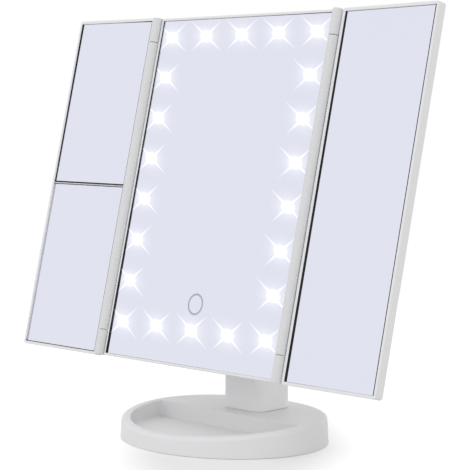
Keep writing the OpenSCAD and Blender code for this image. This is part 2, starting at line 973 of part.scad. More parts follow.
module hinge_pin(side) {
    length = panel_h - 2 * pin_inset;
    color(steel_grey)
    on_panel()
        translate([side * hinge_x, hinge_depth, -length / 2])
            cylinder(r = pin_d / 2, h = length);
}

module left_hinge_pin() hinge_pin(-1);

module right_hinge_pin() hinge_pin(1);

// Frame of a wing, from its hinge axis outwards, with its long barrel.
module wing_frame() {
    difference() {
        union() {
            difference() {
                block([hinge_step, axis_lift, -panel_h / 2],
                    [hinge_step + wing_w, wing_back, panel_h / 2]);
                block([wing_in, -past, -open_z], [wing_out, wing_ledge, open_z]);
                block([wing_in, wing_ledge + ledge_t, -open_z],
                    [wing_out, wing_back + past, open_z]);
                block([wing_in + ledge_w, 0, ledge_w - open_z],
                    [wing_out - ledge_w, wing_back, open_z - ledge_w]);
            }
            translate([0, 0, -barrel_half])
                cylinder(r = barrel_d / 2, h = 2 * barrel_half);
            block([0, axis_lift, -barrel_half], [hinge_step + bite, axis_lift + web_t, barrel_half]);
        }
        translate([0, 0, -panel_h])
            cylinder(r = pin_d / 2 + pin_clearance, h = 2 * panel_h);
    }
}

// Glass of a wing between two heights.
module wing_glass_pane(low, high) {
    block([wing_in + glass_gap, wing_glass, low + glass_gap],
        [wing_out - glass_gap, wing_glass + glass_t, high - glass_gap]);
}

// Foam tape between the glass and the ledge of a wing, between two heights.
module wing_tape(low, high) {
    front = wing_glass + glass_t + touch_gap;
    back = wing_ledge - touch_gap;
    difference() {
        block([wing_in + glass_gap, front, low + glass_gap],
            [wing_out - glass_gap, back, high - glass_gap]);
        block([wing_in + ledge_w, 0, low + ledge_w], [wing_out - ledge_w, wing_back, high - ledge_w]);
    }
}

module wing_cover() {
    block([wing_in + glass_gap, wing_back - cover_t, glass_gap - open_z],
        [wing_out - glass_gap, wing_back, open_z - glass_gap]);
    // Ribs that hold the cover off the ledge.
    for (end = [-1, 1])
        translate([0, 0, end * (open_z - ledge_w / 2)])
            block([wing_in + ledge_w, wing_ledge + ledge_t + touch_gap, -rib_t / 2],
                [wing_out - ledge_w, wing_back - cover_t + bite / 2, rib_t / 2]);
}

module left_frame() {
    color(shell_white)
    on_left_wing() {
        wing_frame();
        // Bar between the two magnifying mirrors, and the ledge behind it.
        block([wing_in - bite, axis_lift + lip_h / 2, divider_z - divider_t / 2],
            [wing_out + bite, wing_ledge + ledge_t / 2, divider_z + divider_t / 2]);
        block([wing_in - bite, wing_ledge, divider_z - divider_t / 2 - ledge_w],
            [wing_out + bite, wing_ledge + ledge_t, divider_z + divider_t / 2 + ledge_w]);
    }
}

module left_upper_mirror() {
    color(glass_blue)
    on_left_wing()
        wing_glass_pane(divider_z + divider_t / 2, open_z);
}

module left_lower_mirror() {
    color(glass_blue)
    on_left_wing()
        wing_glass_pane(-open_z, divider_z - divider_t / 2);
}

module left_tape() {
    color(rubber_grey)
    on_left_wing() {
        wing_tape(divider_z + divider_t / 2, open_z);
        wing_tape(-open_z, divider_z - divider_t / 2);
    }
}

module left_back_cover() {
    color(shell_white)
    on_left_wing()
        wing_cover();
}

module right_frame() {
    color(shell_white)
    on_right_wing()
        wing_frame();
}

module right_mirror() {
    color(glass_blue)
    on_right_wing()
        wing_glass_pane(-open_z, open_z);
}

module right_tape() {
    color(rubber_grey)
    on_right_wing()
        wing_tape(-open_z, open_z);
}

module right_back_cover() {
    color(shell_white)
    on_right_wing()
        wing_cover();
}

base_shell();
base_bottom_plate();
base_weight();
base_feet();
base_screws();
neck();
neck_screws();
tilt_bolt();
tilt_nut();
friction_washers();
bolt_caps();
main_frame();
main_mirror();
main_tape();
light_board();
lights();
touch_pad();
control_board();
board_screws();
charging_socket();
power_switch();
switch_knob();
rear_housing();
housing_screws();
battery_contacts();
battery_cells();
battery_door();
left_hinge_pin();
right_hinge_pin();
left_frame();
left_upper_mirror();
left_lower_mirror();
left_tape();
left_back_cover();
right_frame();
right_mirror();
right_tape();
right_back_cover();
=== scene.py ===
import math

import bmesh
import bpy
from mathutils import Matrix, Vector


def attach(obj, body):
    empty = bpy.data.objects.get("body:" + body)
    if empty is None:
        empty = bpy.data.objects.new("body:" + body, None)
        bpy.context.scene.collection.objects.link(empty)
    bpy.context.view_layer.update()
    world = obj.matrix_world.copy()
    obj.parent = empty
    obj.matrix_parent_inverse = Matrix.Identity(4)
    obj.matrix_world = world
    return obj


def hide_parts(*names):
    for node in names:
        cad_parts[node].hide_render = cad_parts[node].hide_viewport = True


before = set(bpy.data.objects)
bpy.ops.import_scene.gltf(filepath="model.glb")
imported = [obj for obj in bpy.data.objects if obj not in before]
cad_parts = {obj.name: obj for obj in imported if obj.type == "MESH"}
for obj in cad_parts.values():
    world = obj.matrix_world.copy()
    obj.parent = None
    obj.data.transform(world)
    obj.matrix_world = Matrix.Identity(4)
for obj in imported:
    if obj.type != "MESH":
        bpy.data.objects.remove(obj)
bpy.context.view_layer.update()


# ---------------------------------------------------------------- base shell
# The oval foot of the mirror, moulded in white ABS. Its crowned top falls off to the front, and
# the front half is sunk to make a D-shaped tray with a rounded rim round it.

MM = 0.001


def pattern(kind, inputs, outputs):
    """A new shader node group with these named sockets, and its two end nodes."""
    group = bpy.data.node_groups.new(kind, "ShaderNodeTree")
    for name, socket, value in inputs:
        made = group.interface.new_socket(name, in_out="INPUT", socket_type=socket)
        made.default_value = value
    for name, socket in outputs:
        group.interface.new_socket(name, in_out="OUTPUT", socket_type=socket)
    return group, group.nodes.new("NodeGroupInput"), group.nodes.new("NodeGroupOutput")


def add(tree, kind, links=None, **values):
    """One node: values by property or input name, links as input name to output socket."""
    node = tree.nodes.new(kind)
    for key, value in values.items():
        if hasattr(node, key):
            setattr(node, key, value)
        else:
            node.inputs[key.replace("_", " ")].default_value = value
    for key, socket in (links or {}).items():
        tree.links.new(socket, node.inputs[key])
    return node


def maths(tree, operation, a, b=None, c=None, clamp=False):
    """A Math node's output; a, b and c are sockets or numbers."""
    node = tree.nodes.new("ShaderNodeMath")
    node.operation, node.use_clamp = operation, clamp
    for i, value in enumerate((a, b, c)):
        if isinstance(value, bpy.types.NodeSocket):
            tree.links.new(value, node.inputs[i])
        elif value is not None:
            node.inputs[i].default_value = value
    return node.outputs[0]


def blend_colour(tree, factor, a, b):
    """A Mix node's colour output; factor, a and b are sockets or values."""
    node = tree.nodes.new("ShaderNodeMix")
    node.data_type = "RGBA"
    for slot, value in ((0, factor), (6, a), (7, b)):
        if isinstance(value, bpy.types.NodeSocket):
            tree.links.new(value, node.inputs[slot])
        else:
            node.inputs[slot].default_value = value
    return node.outputs[2]


# Skin of a moulded piece: a slow drift of tone, a fine orange peel, and faint handling marks.
skin, skin_in, skin_out = pattern(
    "moulded_skin",
    [("Colour", "NodeSocketColor", (0.8, 0.8, 0.8, 1)), ("Shade", "NodeSocketColor", (0.7, 0.7, 0.7, 1)),
     ("Drift Scale", "NodeSocketFloat", 14.0), ("Peel Scale", "NodeSocketFloat", 900.0),
     ("Roughness", "NodeSocketFloat", 0.4), ("Marks", "NodeSocketFloat", 0.1)],
    [("Colour", "NodeSocketColor"), ("Roughness", "NodeSocketFloat"), ("Height", "NodeSocketFloat")])
worn_from, worn_gain, worn_share, gloss_drift = 0.52, 4.0, 0.35, 0.16
place = add(skin, "ShaderNodeTexCoord").outputs["Object"]
drift = add(skin, "ShaderNodeTexNoise", {"Vector": place, "Scale": skin_in.outputs["Drift Scale"]},
            Detail=3.0, Roughness=0.5).outputs["Fac"]
peel = add(skin, "ShaderNodeTexNoise", {"Vector": place, "Scale": skin_in.outputs["Peel Scale"]},
           Detail=2.0, Roughness=0.45).outputs["Fac"]
marks = add(skin, "ShaderNodeTexNoise", {"Vector": place}, Scale=70.0, Detail=6.0,
            Roughness=0.65, Distortion=0.6).outputs["Fac"]
worn = maths(skin, "MULTIPLY", maths(skin, "SUBTRACT", marks, worn_from, clamp=True),
             maths(skin, "MULTIPLY", skin_in.outputs["Marks"], worn_gain), clamp=True)
tone = blend_colour(skin, drift, skin_in.outputs["Colour"], skin_in.outputs["Shade"])
tone = blend_colour(skin, maths(skin, "MULTIPLY", worn, worn_share), tone, skin_in.outputs["Shade"])
skin.links.new(tone, skin_out.inputs["Colour"])
skin.links.new(maths(skin, "ADD", skin_in.outputs["Roughness"],
                     maths(skin, "MULTIPLY", maths(skin, "SUBTRACT", marks, 0.5), gloss_drift)),
               skin_out.inputs["Roughness"])
skin.links.new(peel, skin_out.inputs["Height"])


def moulded(name, colour, shade, peel_scale, roughness, bump, marks=0.1, specular=0.5):
    """A material of moulded plastic or rubber with that skin."""
    material = bpy.data.materials.new(name)
    material.use_nodes = True
    tree = material.node_tree
    body = tree.nodes["Principled BSDF"]
    group = tree.nodes.new("ShaderNodeGroup")
    group.node_tree = skin
    group.inputs["Colour"].default_value = (*colour, 1)
    group.inputs["Shade"].default_value = (*shade, 1)
    group.inputs["Peel Scale"].default_value = peel_scale
    group.inputs["Roughness"].default_value = roughness
    group.inputs["Marks"].default_value = marks
    relief = add(tree, "ShaderNodeBump", {"Height": group.outputs["Height"]},
                 Strength=bump, Distance=0.0002)
    tree.links.new(group.outputs["Colour"], body.inputs["Base Color"])
    tree.links.new(group.outputs["Roughness"], body.inputs["Roughness"])
    tree.links.new(relief.outputs["Normal"], body.inputs["Normal"])
    body.inputs["Specular IOR Level"].default_value = specular
    return material


white_plastic = moulded("white_plastic", (0.80, 0.80, 0.805), (0.78, 0.78, 0.79), 1100.0, 0.45, 0.03,
                        specular=0.15)
base_plastic = moulded("base_plastic", (0.78, 0.78, 0.785), (0.765, 0.765, 0.775), 1100.0, 0.45, 0.06,
                       specular=0.2)
sharp_from = math.radians(32.0)


def finish_piece(name, mesh_data, material, body, replaced, weighted=True):
    """Turns a bmesh in metres, or a mesh, into a finished piece that rides on a body."""
    if isinstance(mesh_data, bmesh.types.BMesh):
        mesh = bpy.data.meshes.new(name)
        bmesh.ops.recalc_face_normals(mesh_data, faces=mesh_data.faces)
        mesh_data.to_mesh(mesh)
        mesh_data.free()
    else:
        mesh = mesh_data
        mesh.name = name
    mesh.shade_smooth()
    mesh.set_sharp_from_angle(angle=sharp_from)
    piece = bpy.data.objects.new(name, mesh)
    bpy.context.scene.collection.objects.link(piece)
    for i, m in enumerate(material if isinstance(material, (list, tuple)) else [material]):
        if i < len(mesh.materials):
            mesh.materials[i] = m
        else:
            mesh.materials.append(m)
    if weighted:
        even = piece.modifiers.new("even", "WEIGHTED_NORMAL")
        even.keep_sharp = True
    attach(piece, body)
    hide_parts(*replaced)
    return piece


def loft(bm, rings, place=None, closed=False, cap_start=False, cap_end=False, material=0):
    """Faces between rings of points in millimetres, each ring as long as the next."""
    place = place or Matrix.Identity(4)
    made = [[bm.verts.new((place @ Vector(p)) * MM) for p in ring] for ring in rings]
    pairs = list(zip(made, made[1:])) + ([(made[-1], made[0])] if closed else [])
    for a, b in pairs:
        n = len(a)
        for i in range(n):
            quad = (a[i], a[(i + 1) % n], b[(i + 1) % n], b[i])
            if len(set(quad)) == 4:
                bm.faces.new(quad).material_index = material
    if cap_start:
        bm.faces.new(list(reversed(made[0]))).material_index = material
    if cap_end:
        bm.faces.new(made[-1]).material_index = material
    return made


base_rx, base_ry = 75.5, 64.3
base_lift, base_lean, base_wall = 0.4, 0.9, 2.2
crown_r, crown_y, crown_h = 830.0, 42.0, 18.2
lean_angle = math.atan(base_lean / crown_h)
rim_round, lip_round, floor_round = 3.0, 0.7, 0.7
rim_w, rim_side, tray_floor, tray_back = 4.5, 3.0, 6.2, 3.0
tray_middle, tray_corner = -24.0, 1.2
base_points, rim_steps = 360, 6
foot_low, foot_wall, plate_seat = 0.03, 1.1, 2.22
hollow_low, hollow_middle, hollow_corner = 4.2, 32.0, 3.0
# What an arc falls by in its first 30 degrees, as a share of its radius.
arc_fall = 0.134


def top_height(y):
    """Height of the crowned top at a depth."""
    return crown_h - crown_r + math.sqrt(crown_r ** 2 - (y - crown_y) ** 2)


def oval_point(i, inset, z):
    """Point i round the drawn-in oval, at a height."""
    turn = 2 * math.pi * (i + 0.5) / base_points
    return Vector(((base_rx - inset) * math.cos(turn), (base_ry - inset) * math.sin(turn), z))


def oval_gap(x, y, inset, side):
    """Rough distance of a point outside the drawn-in oval, below zero inside it."""
    a, b = base_rx - inset - side, base_ry - inset
    k0 = math.hypot(x / a, y / b)
    k1 = math.hypot(x / a ** 2, y / b ** 2)
    return k0 * (k0 - 1) / max(k1, 1e-9)


def half_oval(centre_y, edge_y, half, oval_inset, side, corner, inset):
    """Ring of the part of the oval before (half 1) or behind (-1) a straight edge, drawn in."""
    points, far_out, halvings = [], 160.0, 40
    for i in range(base_points):
        aim = oval_point(i, 0, 0) - Vector((0, centre_y, 0))
        aim.normalize()
        near, far = 0.0, far_out
        for _ in range(halvings):
            middle = (near + far) / 2
            x, y = aim.x * middle, centre_y + aim.y * middle
            d1 = oval_gap(x, y, oval_inset + inset, side) + corner
            d2 = half * (y - edge_y) + inset + corner
            gap = math.hypot(max(d1, 0), max(d2, 0)) + min(max(d1, d2), 0) - corner
            near, far = (middle, far) if gap < 0 else (near, middle)
        points.append(Vector((aim.x * near, centre_y + aim.y * near, 0)))
    return points


def at_height(points, height):
    """The points at one height, or at a height that goes with the depth."""
    return [Vector((p.x, p.y, height(p.y) if callable(height) else height)) for p in points]


def tray_ring(inset):
    """Outline of the tray, drawn in."""
    return half_oval(tray_middle, tray_back, 1, base_lean + rim_w, rim_side, tray_corner, inset)


shell_rings = []
# The foot of the wall stands on the sheet with a small bevel.
for inset, z in ((0.1, foot_low), (0.04, foot_low + 0.05), (0.02, base_lift + 0.3)):
    shell_rings.append([oval_point(i, inset, z) for i in range(base_points)])
wall_top = []
for i in range(base_points):
    y = oval_point(i, base_lean, 0).y
    wall_top.append(top_height(y) - rim_round * (1 - math.sin(lean_angle)))
for share in (0.5, 1.0):
    shell_rings.append([oval_point(i, base_lean * share * (wall_top[i] - base_lift) / crown_h,
                                   base_lift + share * (wall_top[i] - base_lift))
                        for i in range(base_points)])
for step in range(1, rim_steps + 1):
    turn = lean_angle + (math.pi / 2 - lean_angle) * step / rim_steps
    inset_by = rim_round * (math.cos(lean_angle) - math.cos(turn))
    shell_rings.append([oval_point(i, base_lean * (wall_top[i] - base_lift) / crown_h + inset_by,
                                   wall_top[i] + rim_round * (math.sin(turn) - math.sin(lean_angle)))
                        for i in range(base_points)])
for inset, drop in ((-lip_round, 0.0), (-lip_round * 0.5, lip_round * arc_fall),
                    (-lip_round * arc_fall, lip_round * 0.5), (0.0, lip_round)):
    shell_rings.append(at_height(tray_ring(inset), lambda y, drop=drop: top_height(y) - drop))
for inset, rise in ((0.05, floor_round), (floor_round * arc_fall, floor_round * 0.5),
                    (floor_round * 0.5, floor_round * arc_fall), (floor_round, 0.0),
                    (floor_round + 1, 0.0)):
    shell_rings.append(at_height(tray_ring(inset), tray_floor + rise))
bm = bmesh.new()
top_side = loft(bm, shell_rings, cap_end=True)
under_rings = [[oval_point(i, inset, z) for i in range(base_points)]
               for inset, z in ((foot_wall, foot_low), (foot_wall, plate_seat),
                                (base_lean + base_wall, plate_seat), (base_lean + base_wall, hollow_low))]
hollow = half_oval(hollow_middle, tray_back + base_wall, -1, base_lean + base_wall + 1, 0.0,
                   hollow_corner, 0.0)
under_rings.append(at_height(hollow, hollow_low))
under_rings.append(at_height(hollow, lambda y: top_height(y) - base_wall))
under_side = loft(bm, under_rings, cap_end=True)
for i in range(base_points):
    j = (i + 1) % base_points
    bm.faces.new((top_side[0][i], top_side[0][j], under_side[0][j], under_side[0][i]))
finish_piece("base_body", bm, base_plastic, "base", ("base_shell",))


# ---------------------------------------------------------------- bottom plate and weight
# A flat ABS plate closes the foot from below, and a plain steel plate lies on it so that the
# panel can't tip the mirror over. The plate has sinks for four screws and four pads.

merge_within, flat_within, corner_from = 2e-6, math.radians(0.4), math.radians(30.0)


def softened(name, node, width, material, body, segments=2):
    """A copy of a CAD node with its loose faces joined and its edges rounded."""
    bm = bmesh.new()
    bm.from_mesh(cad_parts[node].data)
    bmesh.ops.remove_doubles(bm, verts=bm.verts, dist=merge_within)
    bmesh.ops.dissolve_limit(bm, angle_limit=flat_within, verts=bm.verts, edges=bm.edges, delimit=set())
    mesh = bpy.data.meshes.new(name)
    bm.to_mesh(mesh)
    bm.free()
    holder = bpy.data.objects.new(name + "_rough", mesh)
    bpy.context.scene.collection.objects.link(holder)
    rounding = holder.modifiers.new("rounding", "BEVEL")
    rounding.width, rounding.segments = width * MM, segments
    rounding.limit_method, rounding.angle_limit = "ANGLE", corner_from
    rounding.use_clamp_overlap = True
    rounding.miter_outer = "MITER_ARC"
    bpy.context.view_layer.update()
    done = bpy.data.meshes.new_from_object(
        holder.evaluated_get(bpy.context.evaluated_depsgraph_get()))
    bpy.data.objects.remove(holder)
    return finish_piece(name, done, material, body, (node,))


softened("bottom_cover", "base_bottom_plate", 0.2, base_plastic, "base")


def metal(name, colour, dark, grain, roughness, stretch=(1, 1, 1)):
    """A material of plain metal with a drawn or rolled grain."""
    material = bpy.data.materials.new(name)
    material.use_nodes = True
    tree = material.node_tree
    body = tree.nodes["Principled BSDF"]
    place = add(tree, "ShaderNodeTexCoord").outputs["Object"]
    drawn = add(tree, "ShaderNodeMapping", {"Vector": place}, Scale=stretch).outputs["Vector"]
    lines = add(tree, "ShaderNodeTexNoise", {"Vector": drawn}, Scale=grain, Detail=4.0).outputs["Fac"]
    cloud = add(tree, "ShaderNodeTexNoise", {"Vector": place}, Scale=60.0, Detail=3.0).outputs["Fac"]
    tone = blend_colour(tree, lines, (*colour, 1), (*dark, 1))
    tone = blend_colour(tree, maths(tree, "MULTIPLY", cloud, 0.4), tone, (*dark, 1))
    relief = add(tree, "ShaderNodeBump", {"Height": lines}, Strength=0.15, Distance=0.0001)
    tree.links.new(tone, body.inputs["Base Color"])
    tree.links.new(maths(tree, "ADD", roughness, maths(tree, "MULTIPLY", lines, 0.15)),
                   body.inputs["Roughness"])
    tree.links.new(relief.outputs["Normal"], body.inputs["Normal"])
    body.inputs["Metallic"].default_value = 1.0
    return material


rolled_steel = metal("rolled_steel", (0.52, 0.53, 0.55), (0.36, 0.37, 0.39), 300.0, 0.32, (1, 8, 8))
plated_steel = metal("plated_steel", (0.62, 0.62, 0.63), (0.42, 0.42, 0.44), 1500.0, 0.24)
brass = metal("contact_brass", (0.78, 0.62, 0.3), (0.6, 0.45, 0.2), 900.0, 0.28)


def dress(node, material):
    """Gives a carried-over CAD node its finish."""
    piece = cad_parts[node]
    piece.data.materials.clear()
    piece.data.materials.append(material)


dress("base_weight", rolled_steel)


# ---------------------------------------------------------------- feet
# Four round pads of soft grey rubber, stuck into sinks in the bottom plate. Each is a disc with
# a rounded edge and a faint ribbed grip.

foot_rubber = moulded("feet_rubber", (0.12, 0.12, 0.125), (0.09, 0.09, 0.095), 1600.0, 0.7, 0.5,
                      specular=0.3)
foot_x, foot_y = 46.0, 36.0
foot_spots = [(sx * foot_x, sy * foot_y, 0.0) for sx in (-1, 1) for sy in (-1, 1)]
rib_turns, rib_height, edge_pull = 3000.0, 0.00006, -0.04


def geometry_tree(name, inputs):
    """A new Geometry Nodes tree with these named sizes, and its two end nodes."""
    tree = bpy.data.node_groups.new(name, "GeometryNodeTree")
    tree.interface.new_socket("Geometry", in_out="INPUT", socket_type="NodeSocketGeometry")
    for label, value in inputs:
        made = tree.interface.new_socket(label, in_out="INPUT", socket_type="NodeSocketFloat")
        made.default_value = value
    tree.interface.new_socket("Geometry", in_out="OUTPUT", socket_type="NodeSocketGeometry")
    return tree, tree.nodes.new("NodeGroupInput"), tree.nodes.new("NodeGroupOutput")


def run_tree(name, tree, points, values, material, body, replaced, turn=None):
    """Runs a tree on loose points in millimetres and finishes what it makes as one piece."""
    mesh = bpy.data.meshes.new(name + "_points")
    mesh.from_pydata([Vector(p) * MM for p in points], [], [])
    holder = bpy.data.objects.new(name + "_points", mesh)
    bpy.context.scene.collection.objects.link(holder)
    grow = holder.modifiers.new("grow", "NODES")
    grow.node_group = tree
    named = {item.name: item.identifier for item in tree.interface.items_tree
             if item.in_out == "INPUT"}
    for label, value in values.items():
        grow[named[label]] = value
    bpy.context.view_layer.update()
    done = bpy.data.meshes.new_from_object(
        holder.evaluated_get(bpy.context.evaluated_depsgraph_get()))
    bpy.data.objects.remove(holder)
    if turn is not None:
        done.transform(turn)
    return finish_piece(name, done, material, body, replaced)


pads, pads_in, pads_out = geometry_tree("rubber_pads", [("Radius", 0.006), ("Height", 0.0012)])
disc = add(pads, "GeometryNodeMeshCylinder", {"Radius": pads_in.outputs["Radius"],
                                              "Depth": pads_in.outputs["Height"]},
           Vertices=64, Side_Segments=6, Fill_Segments=6)
where = add(pads, "GeometryNodeInputPosition").outputs[0]
apart = add(pads, "ShaderNodeSeparateXYZ", {"Vector": where})
reach = add(pads, "ShaderNodeVectorMath", {"Vector": add(
    pads, "ShaderNodeCombineXYZ", {"X": apart.outputs["X"], "Y": apart.outputs["Y"]}).outputs[0]},
    operation="LENGTH").outputs["Value"]
edge = maths(pads, "MULTIPLY", apart.outputs["Z"], 2.0)
edge = maths(pads, "DIVIDE", edge, pads_in.outputs["Height"])
pull = maths(pads, "MULTIPLY", maths(pads, "POWER", maths(pads, "ABSOLUTE", edge), 6.0), edge_pull)
narrowed = add(pads, "ShaderNodeVectorMath", {"Vector": where, "Scale": pull}, operation="SCALE").outputs[0]
flat_in = add(pads, "ShaderNodeVectorMath", {0: narrowed}, operation="MULTIPLY")
flat_in.inputs[1].default_value = (1, 1, 0)
rib = maths(pads, "ABSOLUTE", maths(pads, "SINE", maths(pads, "MULTIPLY", reach, rib_turns)))
rib = maths(pads, "MULTIPLY", rib, rib_height)
rib = maths(pads, "MULTIPLY", rib, maths(pads, "LESS_THAN", edge, -0.99))
ribs = add(pads, "ShaderNodeCombineXYZ", {"Z": rib})
shifted = add(pads, "ShaderNodeVectorMath", {0: flat_in.outputs[0], 1: ribs.outputs[0]}, operation="ADD")
shaped = add(pads, "GeometryNodeSetPosition", {"Geometry": disc.outputs["Mesh"],
                                               "Offset": shifted.outputs[0]})
lift = add(pads, "ShaderNodeCombineXYZ", {"Z": maths(pads, "MULTIPLY", pads_in.outputs["Height"], 0.5)})
raised = add(pads, "GeometryNodeTransform", {"Geometry": shaped.outputs[0],
                                             "Translation": lift.outputs[0]})
spread = add(pads, "GeometryNodeInstanceOnPoints", {"Points": pads_in.outputs["Geometry"],
                                                    "Instance": raised.outputs[0]})
real = add(pads, "GeometryNodeRealizeInstances", {"Geometry": spread.outputs[0]})
coated = add(pads, "GeometryNodeSetMaterial", {"Geometry": real.outputs[0]})
coated.inputs["Material"].default_value = foot_rubber
pads.links.new(coated.outputs[0], pads_out.inputs[0])
run_tree("rubber_feet", pads, foot_spots, {"Radius": 0.00595, "Height": 0.00118}, foot_rubber,
         "base", ("base_feet",))


# ---------------------------------------------------------------- screws
# Small plated steel screws with a cross slot. One tree makes them all: four hold the bottom
# plate, four the neck, six the rear housing and two the control board.

cross, cross_in, cross_out = geometry_tree("cross_screws", [
    ("Head Radius", 0.0025), ("Head Height", 0.0015), ("Shank Radius", 0.0013), ("Length", 0.01),
    ("Slot Width", 0.0007), ("Slot Depth", 0.0008)])
head = add(cross, "GeometryNodeMeshCone", {
    "Radius Bottom": cross_in.outputs["Head Radius"],
    "Radius Top": maths(cross, "MULTIPLY", cross_in.outputs["Head Radius"], 0.86),
    "Depth": cross_in.outputs["Head Height"]}, Vertices=40, Side_Segments=1)
blades = []
for turned in (0.0, math.pi / 2):
    size = add(cross, "ShaderNodeCombineXYZ", {
        "X": maths(cross, "MULTIPLY", cross_in.outputs["Head Radius"], 1.25),
        "Y": cross_in.outputs["Slot Width"],
        "Z": maths(cross, "MULTIPLY", cross_in.outputs["Slot Depth"], 2.0)})
    blade = add(cross, "GeometryNodeMeshCube", {"Size": size.outputs[0]})
    up = add(cross, "ShaderNodeCombineXYZ", {"Z": cross_in.outputs["Head Height"]})
    moved = add(cross, "GeometryNodeTransform", {"Geometry": blade.outputs["Mesh"],
                                                 "Translation": up.outputs[0]})
    moved.inputs["Rotation"].default_value = (0, 0, turned)
    blades.append(moved.outputs[0])
slotted = add(cross, "GeometryNodeMeshBoolean", operation="DIFFERENCE", solver="EXACT")
cross.links.new(head.outputs["Mesh"], slotted.inputs["Mesh 1"])
for blade in blades:
    cross.links.new(blade, slotted.inputs["Mesh 2"])
shank = add(cross, "GeometryNodeMeshCylinder", {
    "Radius": cross_in.outputs["Shank Radius"], "Depth": cross_in.outputs["Length"]},
    Vertices=24, Side_Segments=40)
spot = add(cross, "GeometryNodeInputPosition").outputs[0]
height = add(cross, "ShaderNodeSeparateXYZ", {"Vector": spot}).outputs["Z"]
thread_half, thread_swell = 0.00035, 220.0
thread = maths(cross, "SUBTRACT", maths(cross, "PINGPONG", height, thread_half), thread_half)
thread = maths(cross, "MULTIPLY", thread, thread_swell)
swell = add(cross, "ShaderNodeVectorMath", {"Vector": spot, "Scale": thread}, operation="SCALE").outputs[0]
level = add(cross, "ShaderNodeVectorMath", {0: swell}, operation="MULTIPLY")
level.inputs[1].default_value = (1, 1, 0)
threaded = add(cross, "GeometryNodeSetPosition", {"Geometry": shank.outputs["Mesh"],
                                                  "Offset": level.outputs[0]})
down = add(cross, "ShaderNodeCombineXYZ", {"Z": maths(cross, "MULTIPLY", cross_in.outputs["Length"], -0.5)})
lowered = add(cross, "GeometryNodeTransform", {"Geometry": threaded.outputs[0],
                                               "Translation": down.outputs[0]})
whole = add(cross, "GeometryNodeJoinGeometry")
cross.links.new(slotted.outputs[0], whole.inputs[0])
cross.links.new(lowered.outputs[0], whole.inputs[0])
driven = add(cross, "GeometryNodeInstanceOnPoints", {"Points": cross_in.outputs["Geometry"],
                                                     "Instance": whole.outputs[0]})
solid = add(cross, "GeometryNodeRealizeInstances", {"Geometry": driven.outputs[0]})
plated = add(cross, "GeometryNodeSetMaterial", {"Geometry": solid.outputs[0]})
plated.inputs["Material"].default_value = plated_steel
cross.links.new(plated.outputs[0], cross_out.inputs[0])

head_down = Matrix.Rotation(math.pi, 4, "X")
plate_low, plate_t = 0.6, 1.6
base_screw_spots = [(sx * x, y) for sx in (-1, 1) for x, y in ((54.5, 14.0), (21.5, 51.8))]
run_tree("plate_screws", cross, [(x, -y, -(plate_low + plate_t / 2)) for x, y in base_screw_spots],
         {"Head Height": 0.0008, "Length": 0.0064, "Slot Depth": 0.0006}, plated_steel,
         "base", ("base_screws",), head_down)


# ---------------------------------------------------------------- neck
# A hollow ABS column with rounded corners, screwed to the platform from below. Its top leans
# forward into one broad arm, and the panel tilts round the end of that arm.

neck_w, neck_d, neck_corner = 38.0, 32.0, 8.0
neck_front, neck_front_h, neck_back_h = 15.0, 60.0, 46.0
neck_cut, cut_from = (neck_back_h - neck_front_h) / (neck_d + 2.0), 14.0
neck_round, neck_sink, neck_steps = 3.0, 0.15, 7
pivot_y, pivot_h = -2.1, 77.6
arm_r, arm_w = 9.5, 26.0


def rounded_box(x0, x1, y0, y1, corner, steps=10):
    """Points round a rectangle with rounded corners, from its lower right corner."""
    corner = min(corner, (x1 - x0) / 2 - 0.01, (y1 - y0) / 2 - 0.01)
    points = []
    for cx, cy, start in ((x1 - corner, y0 + corner, -90), (x1 - corner, y1 - corner, 0),
                          (x0 + corner, y1 - corner, 90), (x0 + corner, y0 + corner, 180)):
        for step in range(steps + 1):
            turn = math.radians(start + 90 * step / steps)
            points.append((cx + corner * math.cos(turn), cy + corner * math.sin(turn)))
    return points


def neck_ring(inset, height):
    """Ring of the column, drawn in, at a height that may lean with the depth."""
    outline = rounded_box(-neck_w / 2 + inset, neck_w / 2 - inset, neck_front + inset,
                          neck_front + neck_d - inset, neck_corner - inset)
    return [(x, y, height(y)) for x, y in outline]


def neck_top(y):
    """Height of the column's slanted top at a depth."""
    return neck_front_h + neck_cut * (y - cut_from)


# Painted light: the neck takes a lighter copy of the white plastic, which makes up for the panel's shade on
# it.
neck_painted_light = moulded("neck_painted_light", (0.89, 0.89, 0.895), (0.87, 0.87, 0.88), 1100.0, 0.45, 0.06,
                       specular=0.3)
neck_rings = [neck_ring(0.0, lambda y: top_height(y) - neck_sink),
              neck_ring(0.0, lambda y: top_height(y) + neck_sink)]
for step in range(neck_steps + 1):
    turn = math.pi / 2 * step / neck_steps
    inset = neck_round * (1 - math.cos(turn))
    drop = neck_round * (1 - math.sin(turn))
    neck_rings.append(neck_ring(inset, lambda y, drop=drop: neck_top(y) - drop))
neck_rings.append(neck_ring(neck_round + 0.6, neck_top))
bm = bmesh.new()
loft(bm, neck_rings, cap_start=True, cap_end=True)


def tangent_point(centre, radius, point, side):
    """Where a line from a point touches a circle, on one side of it."""
    dx, dy = point[0] - centre[0], point[1] - centre[1]
    return math.atan2(dy, dx) + side * math.acos(radius / math.hypot(dx, dy))


def drawn_in(points, inset):
    """A closed outline moved inwards by a small inset, along its corners' middles."""
    n, area = len(points), 0.0
    for i in range(n):
        (x0, y0), (x1, y1) = points[i], points[(i + 1) % n]
        area += x0 * y1 - x1 * y0
    turn = 1 if area > 0 else -1
    moved = []
    for i in range(n):
        before, here, after = (Vector(points[i - 1]), Vector(points[i]), Vector(points[(i + 1) % n]))
        a, b = (here - before).normalized(), (after - here).normalized()
        na, nb = Vector((-a.y, a.x)) * turn, Vector((-b.y, b.x)) * turn
        middle = na + nb
        scale = inset / max(0.35, 1 + na.dot(nb)) if middle.length > 1e-6 else 0
        moved.append(tuple(here + middle * scale))
    return moved


